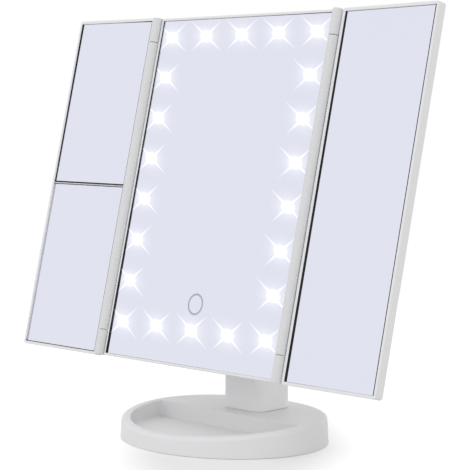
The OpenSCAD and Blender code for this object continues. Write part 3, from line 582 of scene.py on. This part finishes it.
def slab(bm, outline, low, high, rounding, axes, place=None, steps=4, hole=None, material=0):
    """A plate of an outline between two levels, with rounded edges; axes lay the outline.

    A hole is its end (-1 or 1), its centre, its radius and its depth.
    """
    rings = []
    for step in range(steps + 1):
        turn = math.pi / 2 * step / steps
        rings.append((rounding * (1 - math.sin(turn)), low + rounding * (1 - math.cos(turn))))
    for step in range(steps + 1):
        turn = math.pi / 2 * step / steps
        rings.append((rounding * (1 - math.cos(turn)), high - rounding * (1 - math.sin(turn))))
    made = []
    for inset, level in rings:
        made.append([axes(p[0], p[1], level) for p in drawn_in(outline, inset)])
    if hole:
        end, (cx, cy), radius, depth = hole
        turns = [math.atan2(y - cy, x - cx) for x, y in outline]
        mouth, bottom = (high, high - depth) if end > 0 else (low, low + depth)
        round_hole = [[axes(cx + radius * math.cos(t), cy + radius * math.sin(t), level) for t in turns]
                      for level in (mouth, bottom)]
        made = made + round_hole if end > 0 else round_hole[::-1] + made
    return loft(bm, made, place, cap_start=True, cap_end=True, material=material)


def arc(centre, radius, start, end, steps):
    """Points on an arc, from one angle to another."""
    return [(centre[0] + radius * math.cos(start + (end - start) * i / steps),
             centre[1] + radius * math.sin(start + (end - start) * i / steps))
            for i in range(steps + 1)]


pivot = (pivot_y, pivot_h)
back_root, front_root = (44.6, 43.6), (17.4, 43.6)
back_turn = tangent_point(pivot, arm_r, back_root, 1)
front_turn = tangent_point(pivot, arm_r, front_root, -1)
if front_turn < back_turn:
    front_turn += 2 * math.pi
arm_outline = arc(pivot, arm_r, back_turn, front_turn, 40) + [front_root, back_root]
slab(bm, arm_outline, -arm_w / 2, arm_w / 2, 0.8, lambda a, b, level: (level, a, b))
finish_piece("neck_column", bm, neck_painted_light, "base", ("neck",))
neck_screw_x, neck_screw_level = 13.5, 9.88
neck_screw_spots = [(sx * neck_screw_x, y) for sx in (-1, 1) for y in (20.5, 41.5)]
run_tree("neck_column_screws", cross, [(x, -y, -neck_screw_level) for x, y in neck_screw_spots],
         {"Length": 0.014}, plated_steel, "base", ("neck_screws",), head_down)


# ---------------------------------------------------------------- tilt hinge
# A steel bolt with its nut squeezes the neck's arm between the housing's two ears, over two
# friction washers. Small white caps close the sinks at both ends.

dress("tilt_bolt", plated_steel)
dress("tilt_nut", plated_steel)
dress("friction_washers", rolled_steel)

tilt = math.radians(13.3)
bolt_behind, bolt_below, cap_start, cap_points = 26.0, 86.0, 19.95, 64
# Places on the panel: its middle lies above and before the tilt bolt, and it leans back.
PANEL = (Matrix.Translation((0, pivot_y, pivot_h)) @ Matrix.Rotation(-tilt, 4, "X")
         @ Matrix.Translation((0, -bolt_behind, bolt_below)))
bm = bmesh.new()
for side in (-1, 1):
    rings = []
    for radius, level in ((5.3, 0.0), (5.3, 0.85), (5.2, 1.05), (4.95, 1.18), (2.5, 1.3)):
        turns = [2 * math.pi * k / cap_points for k in range(cap_points)]
        rings.append([(side * (cap_start + level), bolt_behind + radius * math.cos(turn),
                       -bolt_below + radius * math.sin(turn)) for turn in turns])
    loft(bm, rings, PANEL, cap_start=True, cap_end=True)
finish_piece("hinge_caps", bm, white_plastic, "panel", ("bolt_caps",))


# ---------------------------------------------------------------- main frame
# The white ABS frame round the lit mirror. It carries the glass on a narrow ledge, and at each
# corner of its sides a short barrel takes the end of a hinge pin.

panel_hx, panel_hz = 82.5, 119.4
open_hx, open_hz = 81.0, 117.7
lip_h, seam_depth = 1.2, 5.0
hinge_x, hinge_y, barrel_r = 86.5, -1.5, 3.4
knuckle_l = 17.2
ledge_front, ledge_back, ledge_w = 2.5, 3.7, 3.0


def swept_frame(bm, outer, inner, profile, place, corner):
    """A closed frame: profile points are (share from outer to inner edge, extra inset, depth)."""
    rings = []
    for share, extra, depth in profile:
        x0, x1, z0, z1 = (o + (i - o) * share for o, i in zip(outer, inner))
        total = min(x0 - outer[0], z0 - outer[2]) + extra
        radius = max(corner - max(total, 0), 0.15)
        outline = rounded_box(x0 + extra, x1 - extra, z0 + extra, z1 - extra, radius, 6)
        rings.append([(x, depth, z) for x, z in outline])
    return loft(bm, rings, place, closed=True)


def rounded_profile(edges, steps=4):
    """Profile points with a rounding at each corner: edges are (share, inset, depth, radius)."""
    points, n = [], len(edges)
    for i, (share, inset, depth, radius) in enumerate(edges):
        if radius <= 0:
            points.append((share, inset, depth))
            continue
        before, after = edges[i - 1], edges[(i + 1) % n]

        def towards(other):
            """Unit step towards a neighbour, where walls count as long."""
            dx = (other[0] - share) * 10 + (other[1] - inset)
            dy = other[2] - depth
            long = math.hypot(dx, dy)
            return dx / long, dy / long

        (ax, ay), (bx, by) = towards(before), towards(after)
        for step in range(steps + 1):
            turn = math.pi / 2 * step / steps
            wa, wb = radius * (1 - math.sin(turn)), radius * (1 - math.cos(turn))
            points.append((share, inset + ax * wa + bx * wb, depth + ay * wa + by * wb))
    return points


frame_profile = rounded_profile([
    (0, 0.0, -lip_h, 0.5), (1, 0.0, -lip_h, 0.3), (1, 0.0, ledge_front, 0.0),
    (1, ledge_w, ledge_front, 0.1), (1, ledge_w, ledge_back, 0.1), (1, 0.0, ledge_back, 0.0),
    (1, 0.0, seam_depth, 0.1), (0, 0.0, seam_depth, 0.25)])
bm = bmesh.new()
swept_frame(bm, (-panel_hx, panel_hx, -panel_hz, panel_hz), (-open_hx, open_hx, -open_hz, open_hz),
            frame_profile, PANEL, corner=0.9)
# Outline of a barrel with the web that joins it to its frame, round the pin's axis. The web lies
# deep, which leaves a groove beside the barrel, and it reaches a little into the frame.
# Painted shade: the barrels take a darker copy of the white plastic, which stands in for the shade on their
# sides.
barrel_painted_shade = moulded("barrel_painted_shade", (0.72, 0.72, 0.722), (0.70, 0.70, 0.705), 1100.0, 0.5, 0.05,
                         specular=0.15)
pin_hole_r, pin_hole_depth = 1.5, 1.3
web_end = panel_hx - 0.6
knuckle = [(web_end, hinge_y + barrel_r / 2)]
for degrees in range(150, 448, 8):
    turn = math.radians(degrees)
    knuckle.append((hinge_x + barrel_r * math.cos(turn), hinge_y + barrel_r * math.sin(turn)))
knuckle += [(hinge_x, hinge_y + barrel_r), (web_end, hinge_y + barrel_r)]


def level_last(a, b, level):
    """Lays an outline flat on the panel's foot and head."""
    return a, b, level


for side in (-1, 1):
    for end in (-1, 1):
        low, high = sorted((end * (panel_hz - knuckle_l), end * panel_hz))
        slab(bm, [(side * x, y) for x, y in knuckle], low, high, 0.35, level_last, PANEL, steps=3,
             hole=(end, (side * hinge_x, hinge_y), pin_hole_r, pin_hole_depth), material=1)
finish_piece("main_surround", bm, [white_plastic, barrel_painted_shade], "panel",
             ("main_frame",))


# ---------------------------------------------------------------- main mirror
# Two millimetres of glass, silvered on the back. Twenty-two frosted windows let the lights
# through, each with painted glare: a halo and two crossed rays painted as glow on the silvered
# face round it. A thin frosted ring marks the touch pad. The ground edges are painted near-black,
# which stands in for the shade in the gap round the glass.

glass_gap, foot_gap, glass_t, arris = 0.12, 0.03, 2.0, 0.12
silver_tint, silver_low = (0.757, 0.773, 0.871), (0.745, 0.761, 0.862)
# Painted shade: the edge faces and back of each pane are near-black, standing in for the shade in the gap
# round the glass.
edge_painted_shade = moulded("ground_edge_painted_shade", (0.035, 0.037, 0.045), (0.02, 0.022, 0.03), 2500.0, 0.25, 0.3)


def silvered(name, extra=None):
    """Silvered glass: faint drift of tint, faint smears, and what extra adds to the tree."""
    material = bpy.data.materials.new(name)
    material.use_nodes = True
    tree = material.node_tree
    body = tree.nodes["Principled BSDF"]
    place = add(tree, "ShaderNodeTexCoord").outputs["Object"]
    cloud = add(tree, "ShaderNodeTexNoise", {"Vector": place}, Scale=9.0, Detail=2.0).outputs["Fac"]
    smear = add(tree, "ShaderNodeTexNoise", {"Vector": place}, Scale=45.0, Detail=5.0,
                Distortion=1.2).outputs["Fac"]
    tint = blend_colour(tree, cloud, (*silver_tint, 1), (*silver_low, 1))
    rough = maths(tree, "MULTIPLY", maths(tree, "SUBTRACT", smear, 0.45, clamp=True), 0.10)
    rough = maths(tree, "ADD", rough, 0.015)
    if extra:
        tint, rough = extra(tree, place, body, tint, rough)
    tree.links.new(tint, body.inputs["Base Color"])
    tree.links.new(rough, body.inputs["Roughness"])
    body.inputs["Metallic"].default_value = 1.0
    return material


light_cols, light_rows = 5, 8
light_pitch_x, light_pitch_z, light_rise = 34.9, 28.6, 5.6
ring_drop, ring_r, ring_line = 77.0, 6.6, 0.72
# Millimetres on the glass to steps of the painted glare: the painted rays lie slanted on the panel.
glare_xx, glare_xz, glare_zx, glare_zz = 1.04, 0.267, -0.045, -1.476
glare_reach, glare_core, glare_line, glare_strength = 24.0, 5.0, 0.95, 0.42
halo_reach, halo_strength = 9.5, 0.45
ring_grey = (0.44, 0.45, 0.52, 1)


def lit(tree, place, body, tint, rough):
    """Adds the lit windows with their painted glare, and the ring of the touch pad."""

    def calc(operation, *values, **options):
        return maths(tree, operation, *values, **options)

    def length(a, b):
        return calc("SQRT", calc("ADD", calc("POWER", a, 2.0), calc("POWER", b, 2.0)))

    def bell(distance, width):
        return calc("EXPONENT", calc("MULTIPLY", calc("POWER", calc("DIVIDE", distance, width), 2.0), -1.0))

    def weighed(a, share_a, b, share_b):
        return calc("ADD", calc("MULTIPLY", a, share_a), calc("MULTIPLY", b, share_b))

    # Millimetres on the panel, from its middle.
    local = add(tree, "ShaderNodeMapping", {"Vector": place}, vector_type="TEXTURE")
    local.inputs["Location"].default_value = (PANEL @ Vector((0, 0, 0))) * MM
    local.inputs["Rotation"].default_value = (-tilt, 0, 0)
    local.inputs["Scale"].default_value = (MM, MM, MM)
    apart = add(tree, "ShaderNodeSeparateXYZ", {"Vector": local.outputs["Vector"]})
    across, up = apart.outputs["X"], apart.outputs["Z"]
    # The nearest light of the grid, and whether it is one of the outer ring.
    half_cols, half_rows = (light_cols - 1) / 2, (light_rows - 1) / 2
    col = calc("ROUND", calc("DIVIDE", across, light_pitch_x))
    col = calc("MAXIMUM", calc("MINIMUM", col, half_cols), -half_cols)
    row = calc("DIVIDE", calc("SUBTRACT", up, light_rise), light_pitch_z)
    row = calc("ROUND", calc("ADD", row, half_rows))
    row = calc("MAXIMUM", calc("MINIMUM", row, light_rows - 1.0), 0.0)
    row = calc("SUBTRACT", row, half_rows)
    outer = calc("MAXIMUM", calc("GREATER_THAN", calc("ABSOLUTE", col), half_cols - 0.5),
                 calc("GREATER_THAN", calc("ABSOLUTE", row), half_rows - 0.25))
    du = calc("SUBTRACT", across, calc("MULTIPLY", col, light_pitch_x))
    dv = calc("SUBTRACT", up, calc("ADD", calc("MULTIPLY", row, light_pitch_z), light_rise))
    gx, gz = weighed(du, glare_xx, dv, glare_xz), weighed(du, glare_zx, dv, glare_zz)
    # A round lit window with a painted halo, and two crossed painted rays that thin out to their ends.
    reach = length(gx, gz)
    core = add(tree, "ShaderNodeMapRange", {"Value": reach}, interpolation_type="SMOOTHSTEP",
               From_Min=glare_core + 2.6, From_Max=glare_core - 2.4).outputs["Result"]
    core = calc("MULTIPLY", core, outer)
    total = calc("ADD", core, calc("MULTIPLY", bell(reach, halo_reach), halo_strength))
    for sign in (1.0, -1.0):
        slanted = calc("MULTIPLY", gz, sign)
        along = calc("MULTIPLY", calc("ADD", gx, slanted), 0.7071)
        beside = calc("MULTIPLY", calc("SUBTRACT", gx, slanted), 0.7071)
        fade = calc("DIVIDE", calc("ABSOLUTE", along), glare_reach)
        fade = calc("SUBTRACT", 1.0, fade, clamp=True)
        width = calc("ADD", calc("MULTIPLY", fade, glare_line), 0.25)
        total = calc("ADD", total, calc("MULTIPLY", bell(beside, width), calc("POWER", fade, 0.8)))
    total = calc("MULTIPLY", calc("MULTIPLY", total, outer), glare_strength)
    from_ring = calc("SUBTRACT", length(across, calc("ADD", up, ring_drop)), ring_r)
    ring = add(tree, "ShaderNodeMapRange", {"Value": calc("ABSOLUTE", from_ring)},
               interpolation_type="SMOOTHSTEP", From_Min=ring_line + 0.15,
               From_Max=ring_line - 0.15).outputs["Result"]
    glow = blend_colour(tree, calc("MINIMUM", total, 1.0), (0, 0, 0, 1), (1, 1, 1, 1))
    tree.links.new(glow, body.inputs["Emission Color"])
    body.inputs["Emission Strength"].default_value = 1.0
    tint = blend_colour(tree, ring, tint, ring_grey)
    rough = calc("ADD", rough, calc("MULTIPLY", calc("MAXIMUM", ring, core), 0.3))
    return tint, rough


silver_plain = silvered("mirror_silver")
silver_lit = silvered("lit_mirror_silver", lit)


def glass_pane(bm, x0, x1, z0, z1, front, place):
    """A pane with ground edges: its face is the first material and its edges the second."""
    rings = []
    for inset, depth in ((arris, front), (0.0, front + arris), (0.0, front + glass_t - 0.2),
                         (0.2, front + glass_t)):
        outline = rounded_box(x0 + inset, x1 - inset, z0 + inset, z1 - inset, max(0.6 - inset, 0.2), 4)
        rings.append([(x, depth, z) for x, z in outline])
    made = loft(bm, rings, place, material=1)
    bm.faces.new(list(reversed(made[0])))
    # The narrow bevel round the face is as bright as the face.
    for vert in made[0]:
        for face in vert.link_faces:
            face.material_index = 0
    bm.faces.new(made[-1]).material_index = 1


bm = bmesh.new()
glass_pane(bm, glass_gap - open_hx, open_hx - glass_gap, foot_gap - open_hz, open_hz - glass_gap,
           0.0, PANEL)
finish_piece("main_glass", bm, [silver_lit, edge_painted_shade], "panel", ("main_mirror",),
             weighted=False)


# ---------------------------------------------------------------- foam seals
# Black foam tape holds each glass on its ledge. On most sides a thin black lip of it rises between
# the glass and the wall beside it, painted shade: a dark sheet that draws dark lines of shade
# round the mirrors.

foam = moulded("foam_tape", (0.03, 0.03, 0.035), (0.018, 0.018, 0.022), 3000.0, 0.8, 0.6, specular=0.2)
tape_w, tape_back, tape_play, tape_corner = 3.0, 0.48, 0.02, 0.3
# The side on which each point of a ring lies: left 0, right 1, foot 2 and head 3.
ring_sides = (2, 1, 1, 1, 1, 3, 3, 0, 0, 0, 0, 2)


def seal(bm, x0, x1, z0, z1, front, place, lips):
    """Foam ring behind a pane. Its lips stand up round it by the side: left, right, foot, head; the black
    lips that stand before the glass are painted shade.

    Each lip is its height over the glass at the lower or left end, at the other end, and its width.
    """
    behind = front + glass_t + tape_play
    back = front + glass_t + tape_back
    rings = []
    for inset, depth in ((tape_play, None), (None, None), (0.22, behind), (tape_w, behind),
                         (tape_w, back), (tape_play, back)):
        a, b, c, d = (lips[side][2] if inset is None else inset for side in range(4))
        ring = []
        for side, (x, z) in zip(ring_sides, rounded_box(x0 + a, x1 - b, z0 + c, z1 - d, tape_corner, 2)):
            share = (z - z0) / (z1 - z0) if side < 2 else (x - x0) / (x1 - x0)
            rise = lips[side][0] + share * (lips[side][1] - lips[side][0])
            ring.append((x, front - rise if depth is None else depth, z))
        rings.append(ring)
    loft(bm, rings, place, closed=True)


# Painted shade: the lips that stand before the glass are black sheets that draw dark lines of shade beside
# it.
low_lip = (-1.2, -1.2, 0.1)
main_shade_lips = ((1.05, 0.35, 0.2), low_lip, (1.0, -0.7, 0.12), (-1.2, 0.6, 0.1))
bm = bmesh.new()
seal(bm, -open_hx, open_hx, -open_hz, open_hz, 0.0, PANEL, main_shade_lips)
finish_piece("main_seal", bm, foam, "panel", ("main_tape",))


# ---------------------------------------------------------------- lights and touch pad
# A ring-shaped circuit board behind the glass carries twenty-two white chips with a small dome
# each. A round brass pad behind the frosted ring feels the finger.

board_white = moulded("board_resist", (0.70, 0.72, 0.68), (0.62, 0.64, 0.60), 700.0, 0.35, 0.2)
dress("light_board", board_white)

chip_material = bpy.data.materials.new("light_chip")
chip_material.use_nodes = True
chip_tree = chip_material.node_tree
chip_body = chip_tree.nodes["Principled BSDF"]
chip_place = add(chip_tree, "ShaderNodeTexCoord").outputs["Object"]
chip_grain = add(chip_tree, "ShaderNodeTexNoise", {"Vector": chip_place}, Scale=2500.0,
                 Detail=2.0).outputs["Fac"]
chip_tone = blend_colour(chip_tree, chip_grain, (0.93, 0.90, 0.72, 1), (0.86, 0.80, 0.55, 1))
chip_tree.links.new(chip_tone, chip_body.inputs["Base Color"])
chip_tree.links.new(maths(chip_tree, "ADD", 0.25, maths(chip_tree, "MULTIPLY", chip_grain, 0.2)),
                    chip_body.inputs["Roughness"])
chip_tree.links.new(blend_colour(chip_tree, chip_grain, (1, 1, 1, 1), (0.95, 0.96, 1, 1)),
                    chip_body.inputs["Emission Color"])
chip_body.inputs["Emission Strength"].default_value = 2.0

chips, chips_in, chips_out = geometry_tree("light_chips", [
    ("Width", 0.0035), ("Height", 0.0005), ("Dome Radius", 0.0012)])
base_size = add(chips, "ShaderNodeCombineXYZ", {
    "X": chips_in.outputs["Width"], "Y": chips_in.outputs["Height"], "Z": chips_in.outputs["Width"]})
chip = add(chips, "GeometryNodeMeshCube", {"Size": base_size.outputs[0]})
dome = add(chips, "GeometryNodeMeshUVSphere", {"Radius": chips_in.outputs["Dome Radius"]},
           Segments=20, Rings=10)
flat_dome = add(chips, "GeometryNodeTransform", {"Geometry": dome.outputs["Mesh"]})
flat_dome.inputs["Scale"].default_value = (1.0, 0.2, 1.0)
flat_dome.inputs["Translation"].default_value = (0.0, -0.0002, 0.0)
chip_whole = add(chips, "GeometryNodeJoinGeometry")
chips.links.new(chip.outputs["Mesh"], chip_whole.inputs[0])
chips.links.new(flat_dome.outputs[0], chip_whole.inputs[0])
chip_spread = add(chips, "GeometryNodeInstanceOnPoints", {"Points": chips_in.outputs["Geometry"],
                                                          "Instance": chip_whole.outputs[0]})
chip_real = add(chips, "GeometryNodeRealizeInstances", {"Geometry": chip_spread.outputs[0]})
chip_coat = add(chips, "GeometryNodeSetMaterial", {"Geometry": chip_real.outputs[0]})
chip_coat.inputs["Material"].default_value = chip_material
chips.links.new(chip_coat.outputs[0], chips_out.inputs[0])
chip_depth = 2.42
light_spots = [((i - (light_cols - 1) / 2) * light_pitch_x, chip_depth,
                light_rise + (j - (light_rows - 1) / 2) * light_pitch_z)
               for i in range(light_cols) for j in range(light_rows)
               if i in (0, light_cols - 1) or j in (0, light_rows - 1)]
to_panel = Matrix.Diagonal((MM, MM, MM, 1)) @ PANEL @ Matrix.Diagonal((1 / MM, 1 / MM, 1 / MM, 1))
run_tree("light_chips_lit", chips, light_spots, {}, chip_material, "panel", ("lights",),
         to_panel)
dress("touch_pad", brass)


# ---------------------------------------------------------------- control board
# Low on the right of the housing: a green circuit board on two screws, with the charging
# socket in the lower edge and a slide switch whose knob comes out at the back.

board_green = moulded("board_green", (0.03, 0.14, 0.06), (0.02, 0.10, 0.045), 500.0, 0.3, 0.3, marks=0.3)
dress("control_board", board_green)
board_screw_y, board_screw_level = 102.7, 5.18
board_screw_spots = [(x, -board_screw_y, -board_screw_level) for x in (29.0, 63.0)]
head_front = Matrix.Rotation(math.pi / 2, 4, "X")
front_to_panel = to_panel @ head_front
run_tree("board_fixings", cross, board_screw_spots, {"Length": 0.003}, plated_steel, "panel",
         ("board_screws",), front_to_panel)
dress("charging_socket", plated_steel)
grey_plastic = moulded("grey_plastic", (0.16, 0.165, 0.175), (0.12, 0.125, 0.135), 1300.0, 0.45, 0.3)
dress("power_switch", grey_plastic)
softened("switch_slider", "switch_knob", 0.3, grey_plastic, "knob", segments=3)


# ---------------------------------------------------------------- rear housing
# One white ABS moulding closes the panel's back. It has the hump of the battery bay, two ears
# for the tilt bolt, six screw wells, the switch's slot and the socket's mouth.

grained_plastic = moulded("grained_plastic", (0.77, 0.77, 0.775), (0.75, 0.75, 0.755), 1500.0, 0.5,
                          0.35)
softened("back_housing", "rear_housing", 0.5, grained_plastic, "panel", segments=3)
housing_screw_x, housing_screw_z, housing_screw_level = 78.0, 106.4, 9.32
housing_screw_spots = [(sx * housing_screw_x, level * housing_screw_z)
                       for sx in (-1, 1) for level in (-1, 0, 1)]
head_back = Matrix.Rotation(-math.pi / 2, 4, "X")
back_to_panel = to_panel @ head_back
run_tree("housing_fixings", cross, [(x, -z, housing_screw_level) for x, z in housing_screw_spots],
         {"Head Height": 0.00145, "Length": 0.0043}, plated_steel, "panel", ("housing_screws",),
         back_to_panel)


# ---------------------------------------------------------------- batteries and door
# Four AA cells lie side by side in the bay, between brass contacts. A ribbed white door slides
# up the panel to open it.

dress("battery_contacts", brass)
sleeve = moulded("cell_sleeve", (0.10, 0.30, 0.14), (0.07, 0.22, 0.10), 300.0, 0.25, 0.1)
dress("battery_cells", sleeve)
softened("bay_door", "battery_door", 0.25, grained_plastic, "door")


# ---------------------------------------------------------------- hinge pins
# One steel pin runs through all three barrels of each wing's hinge, and ends just short of the
# barrels' ends.

dress("left_hinge_pin", plated_steel)
dress("right_hinge_pin", plated_steel)


# ---------------------------------------------------------------- wings
# Each wing is an ABS frame with a long barrel on the hinge pin. The right one holds one mirror,
# the left one two magnifying mirrors with a bar between them. A cover closes each back.

axis_lift, wing_t = 0.3, 6.8
wing_x0, wing_x1, wing_hz = 4.0, 86.0, 119.8
open_x0, open_x1, wing_open_hz = 6.5, 84.05, 117.7
wing_ledge_front, wing_ledge_back = 4.0, 5.2
barrel_half, web_x, groove_from = 101.8, 4.6, 38
wing_glass_y = axis_lift + lip_h
bar_z, bar_t, bar_ledge, bar_reach = -0.95, 1.1, 3.8, 0.5
cover_t = 1.6
left_rest, right_rest = math.radians(1.0), math.radians(3.0)
# The left wing looks a little taller than the right one.
left_taller = 0.45
RIGHT = PANEL @ Matrix.Translation((hinge_x, hinge_y, 0)) @ Matrix.Rotation(-right_rest, 4, "Z")
LEFT = (PANEL @ Matrix.Diagonal((-1, 1, 1, 1)) @ Matrix.Translation((hinge_x, hinge_y, 0))
        @ Matrix.Rotation(-left_rest, 4, "Z"))
back_y = axis_lift + wing_t
wing_profile = rounded_profile([
    (0, 0.0, axis_lift, 0.5), (1, 0.0, axis_lift, 0.25), (1, 0.0, wing_ledge_front, 0.0),
    (1, ledge_w, wing_ledge_front, 0.1), (1, ledge_w, wing_ledge_back, 0.1),
    (1, 0.0, wing_ledge_back, 0.0), (1, 0.0, back_y, 0.2), (0, 0.0, back_y, 1.3)])
long_barrel = [(web_x, barrel_r * math.sin(math.radians(groove_from)))]
for degrees in range(groove_from, -263, -10):
    turn = math.radians(degrees)
    long_barrel.append((barrel_r * math.cos(turn), barrel_r * math.sin(turn)))
long_barrel += [(0.0, barrel_r), (web_x, barrel_r)]


def level_between(a, b, level):
    """Lays an outline parallel to the glass."""
    return a, level, b


# Black lips of the foam beside the hinge, painted shade: on the right wing, and on the left one.
near_shade_lip, thin_shade_lip = (1.05, 0.8, 0.2), (1.1, 1.1, 0.3)
for name, body, place, taller in (("left", "left_wing", LEFT, left_taller),
                                  ("right", "right_wing", RIGHT, 0.0)):
    bm = bmesh.new()
    low_z, high_z = -wing_open_hz - taller, wing_open_hz + taller
    swept_frame(bm, (wing_x0, wing_x1, -wing_hz - taller, wing_hz + taller),
                (open_x0, open_x1, low_z, high_z), wing_profile, place, corner=2.0)
    # The long barrel takes the darker copy of the white plastic, painted shade.
    slab(bm, long_barrel, -barrel_half, barrel_half, 0.3, level_last, place, steps=3, material=1)
    if name == "left":
        ends = (open_x0 - bar_reach, open_x1 + bar_reach)
        bar = rounded_box(*ends, bar_z - bar_t / 2, bar_z + bar_t / 2, 0.1, 1)
        slab(bm, bar, axis_lift + 0.6, 4.6, 0.25, level_between, place, steps=3)
        ledge = rounded_box(*ends, bar_z - bar_ledge, bar_z + bar_ledge, 0.1, 1)
        slab(bm, ledge, wing_ledge_front, wing_ledge_back, 0.1, level_between, place, steps=1)
        # The black lips of these panes that stand before the glass are painted shade.
        panes = [("left_upper_glass", bar_z + bar_t / 2, high_z, "left_upper_mirror",
                  (thin_shade_lip, (0.5, 0.75, 0.2), (1.1, 1.1, 0.8), (1.0, -1.2, 0.14))),
                 ("left_lower_glass", low_z, bar_z - bar_t / 2, "left_lower_mirror",
                  (thin_shade_lip, low_lip, (1.15, 1.15, 0.5), (1.1, 1.1, 0.16)))]
    else:
        panes = [("right_glass", low_z, high_z, "right_mirror",
                  (near_shade_lip, (1.1, 1.1, 0.65), (0.6, -1.2, 0.1), low_lip))]
    finish_piece(name + "_surround", bm, [white_plastic, barrel_painted_shade], body,
                 (name + "_frame",))
    seal_bm = bmesh.new()
    for label, z0, z1, node, lips in panes:
        bm = bmesh.new()
        glass_pane(bm, open_x0 + glass_gap, open_x1 - glass_gap, z0 + foot_gap, z1 - glass_gap,
                   wing_glass_y, place)
        finish_piece(label, bm, [silver_plain, edge_painted_shade], body, (node,), weighted=False)
        seal(seal_bm, open_x0, open_x1, z0, z1, wing_glass_y, place, lips)
    finish_piece(name + "_seal", seal_bm, foam, body, (name + "_tape",))
    bm = bmesh.new()
    cover = rounded_box(open_x0 + glass_gap, open_x1 - glass_gap, low_z + glass_gap, high_z - glass_gap,
                        0.8, 4)
    slab(bm, cover, back_y - cover_t, back_y, 0.25, level_between, place, steps=3)
    finish_piece(name + "_cover", bm, grained_plastic, body, (name + "_back_cover",))


# ---------------------------------------------------------------- studio
# A white sheet under the mirror that keeps a soft shadow, partly real and partly painted, a white
# room all round, two broad lamps from the front left and the front right, and the camera on the right.

sheet_radius, sheet_drop = 0.9, 0.0002
floor_mesh = bpy.data.meshes.new("studio_floor")
bm = bmesh.new()
bmesh.ops.create_circle(bm, cap_ends=True, radius=sheet_radius, segments=96)
bm.to_mesh(floor_mesh)
bm.free()
studio_floor = bpy.data.objects.new("studio_floor", floor_mesh)
bpy.context.scene.collection.objects.link(studio_floor)
studio_floor.location.z = -sheet_drop
floor_material = bpy.data.materials.new("white_sheet")
floor_material.use_nodes = True
tree = floor_material.node_tree
tree.nodes.remove(tree.nodes["Principled BSDF"])
sheet_place = add(tree, "ShaderNodeTexCoord").outputs["Object"]
sheet_grain = add(tree, "ShaderNodeTexNoise", {"Vector": sheet_place}, Scale=400.0,
                  Detail=2.0).outputs["Fac"]
sheet_tone = blend_colour(tree, sheet_grain, (0.80, 0.80, 0.80, 1), (0.79, 0.79, 0.79, 1))
matt = add(tree, "ShaderNodeBsdfDiffuse", {"Color": sheet_tone})
# Painted shadow: the sheet glows white away from the foot and less in an oval pool round it, so a
# soft shade is painted there on top of the real one.
pool_near, pool_far, pool_start, pool_end = 0.10, 0.45, 0.5, 1.35
pool_across, pool_before, pool_behind, pool_turn = 0.072, 0.13, 0.1, math.radians(46.5)
pool_x, pool_y = 0.003, 0.05
turned = add(tree, "ShaderNodeMapping", {"Vector": sheet_place}, vector_type="TEXTURE",
             Rotation=(0, 0, pool_turn))
apart = add(tree, "ShaderNodeSeparateXYZ", {"Vector": turned.outputs["Vector"]})
across = maths(tree, "DIVIDE", maths(tree, "SUBTRACT", apart.outputs["X"], pool_x), pool_across)
along = maths(tree, "ADD", apart.outputs["Y"], pool_y)
longer = maths(tree, "MULTIPLY", maths(tree, "GREATER_THAN", along, 0.0), pool_behind)
along = maths(tree, "DIVIDE", along, maths(tree, "ADD", pool_before, longer))
pool = maths(tree, "SQRT", maths(tree, "ADD", maths(tree, "MULTIPLY", across, across),
                                 maths(tree, "MULTIPLY", along, along)))
glow_tone = add(tree, "ShaderNodeMapRange", {"Value": pool}, interpolation_type="SMOOTHSTEP",
                From_Min=pool_start, From_Max=pool_end, To_Min=pool_near, To_Max=pool_far).outputs["Result"]
glow = add(tree, "ShaderNodeEmission", {"Color": glow_tone})


def seen_by_eye(tree):
    """One where the camera, a mirror or a glass looks, and zero where light is gathered."""
    seen = add(tree, "ShaderNodeLightPath").outputs
    straight = maths(tree, "MAXIMUM", seen["Is Camera Ray"], seen["Is Glossy Ray"])
    return maths(tree, "MAXIMUM", straight, seen["Is Transmission Ray"])


tree.links.new(seen_by_eye(tree), glow.inputs["Strength"])
both = add(tree, "ShaderNodeAddShader", {0: matt.outputs[0], 1: glow.outputs[0]})
tree.links.new(both.outputs[0], tree.nodes["Material Output"].inputs["Surface"])
studio_floor.data.materials.append(floor_material)

world = bpy.data.worlds.new("white_room")
bpy.context.scene.world = world
world.use_nodes = True
tree = world.node_tree
sky = tree.nodes["Background"]
# The room looks white but lights the mirror a little less.
ambient = 0.82
whiter = maths(tree, "MULTIPLY", seen_by_eye(tree), 1.0 - ambient)
tree.links.new(maths(tree, "ADD", ambient, whiter), sky.inputs["Strength"])
sky.inputs["Color"].default_value = (1, 1, 1, 1)

for name, energy, angle, source in (("key", 0.32, 35, (-0.45, -0.75, 0.55)),
                                    ("fill", 0.35, 50, (0.6, -0.65, 0.47))):
    lamp_data = bpy.data.lights.new(name, "SUN")
    lamp_data.energy, lamp_data.angle = energy, math.radians(angle)
    lamp = bpy.data.objects.new(name, lamp_data)
    lamp.rotation_euler = Vector(source).to_track_quat("Z", "Y").to_euler()
    lamp.visible_glossy = False
    bpy.context.scene.collection.objects.link(lamp)

camera_data = bpy.data.cameras.new("photo_camera")
camera_data.sensor_width, camera_data.lens = 36.0, 131.92
camera_data.clip_start, camera_data.clip_end = 0.05, 20.0
camera = bpy.data.objects.new("photo_camera", camera_data)
camera.location = (0.83553, -0.78236, 0.22169)
looked_at = Vector((0.00909, 0.00195, 0.13721))
camera.rotation_euler = (looked_at - camera.location).to_track_quat("-Z", "Y").to_euler()
bpy.context.scene.collection.objects.link(camera)
bpy.context.scene.camera = camera
bpy.context.scene.view_settings.view_transform = "Standard"
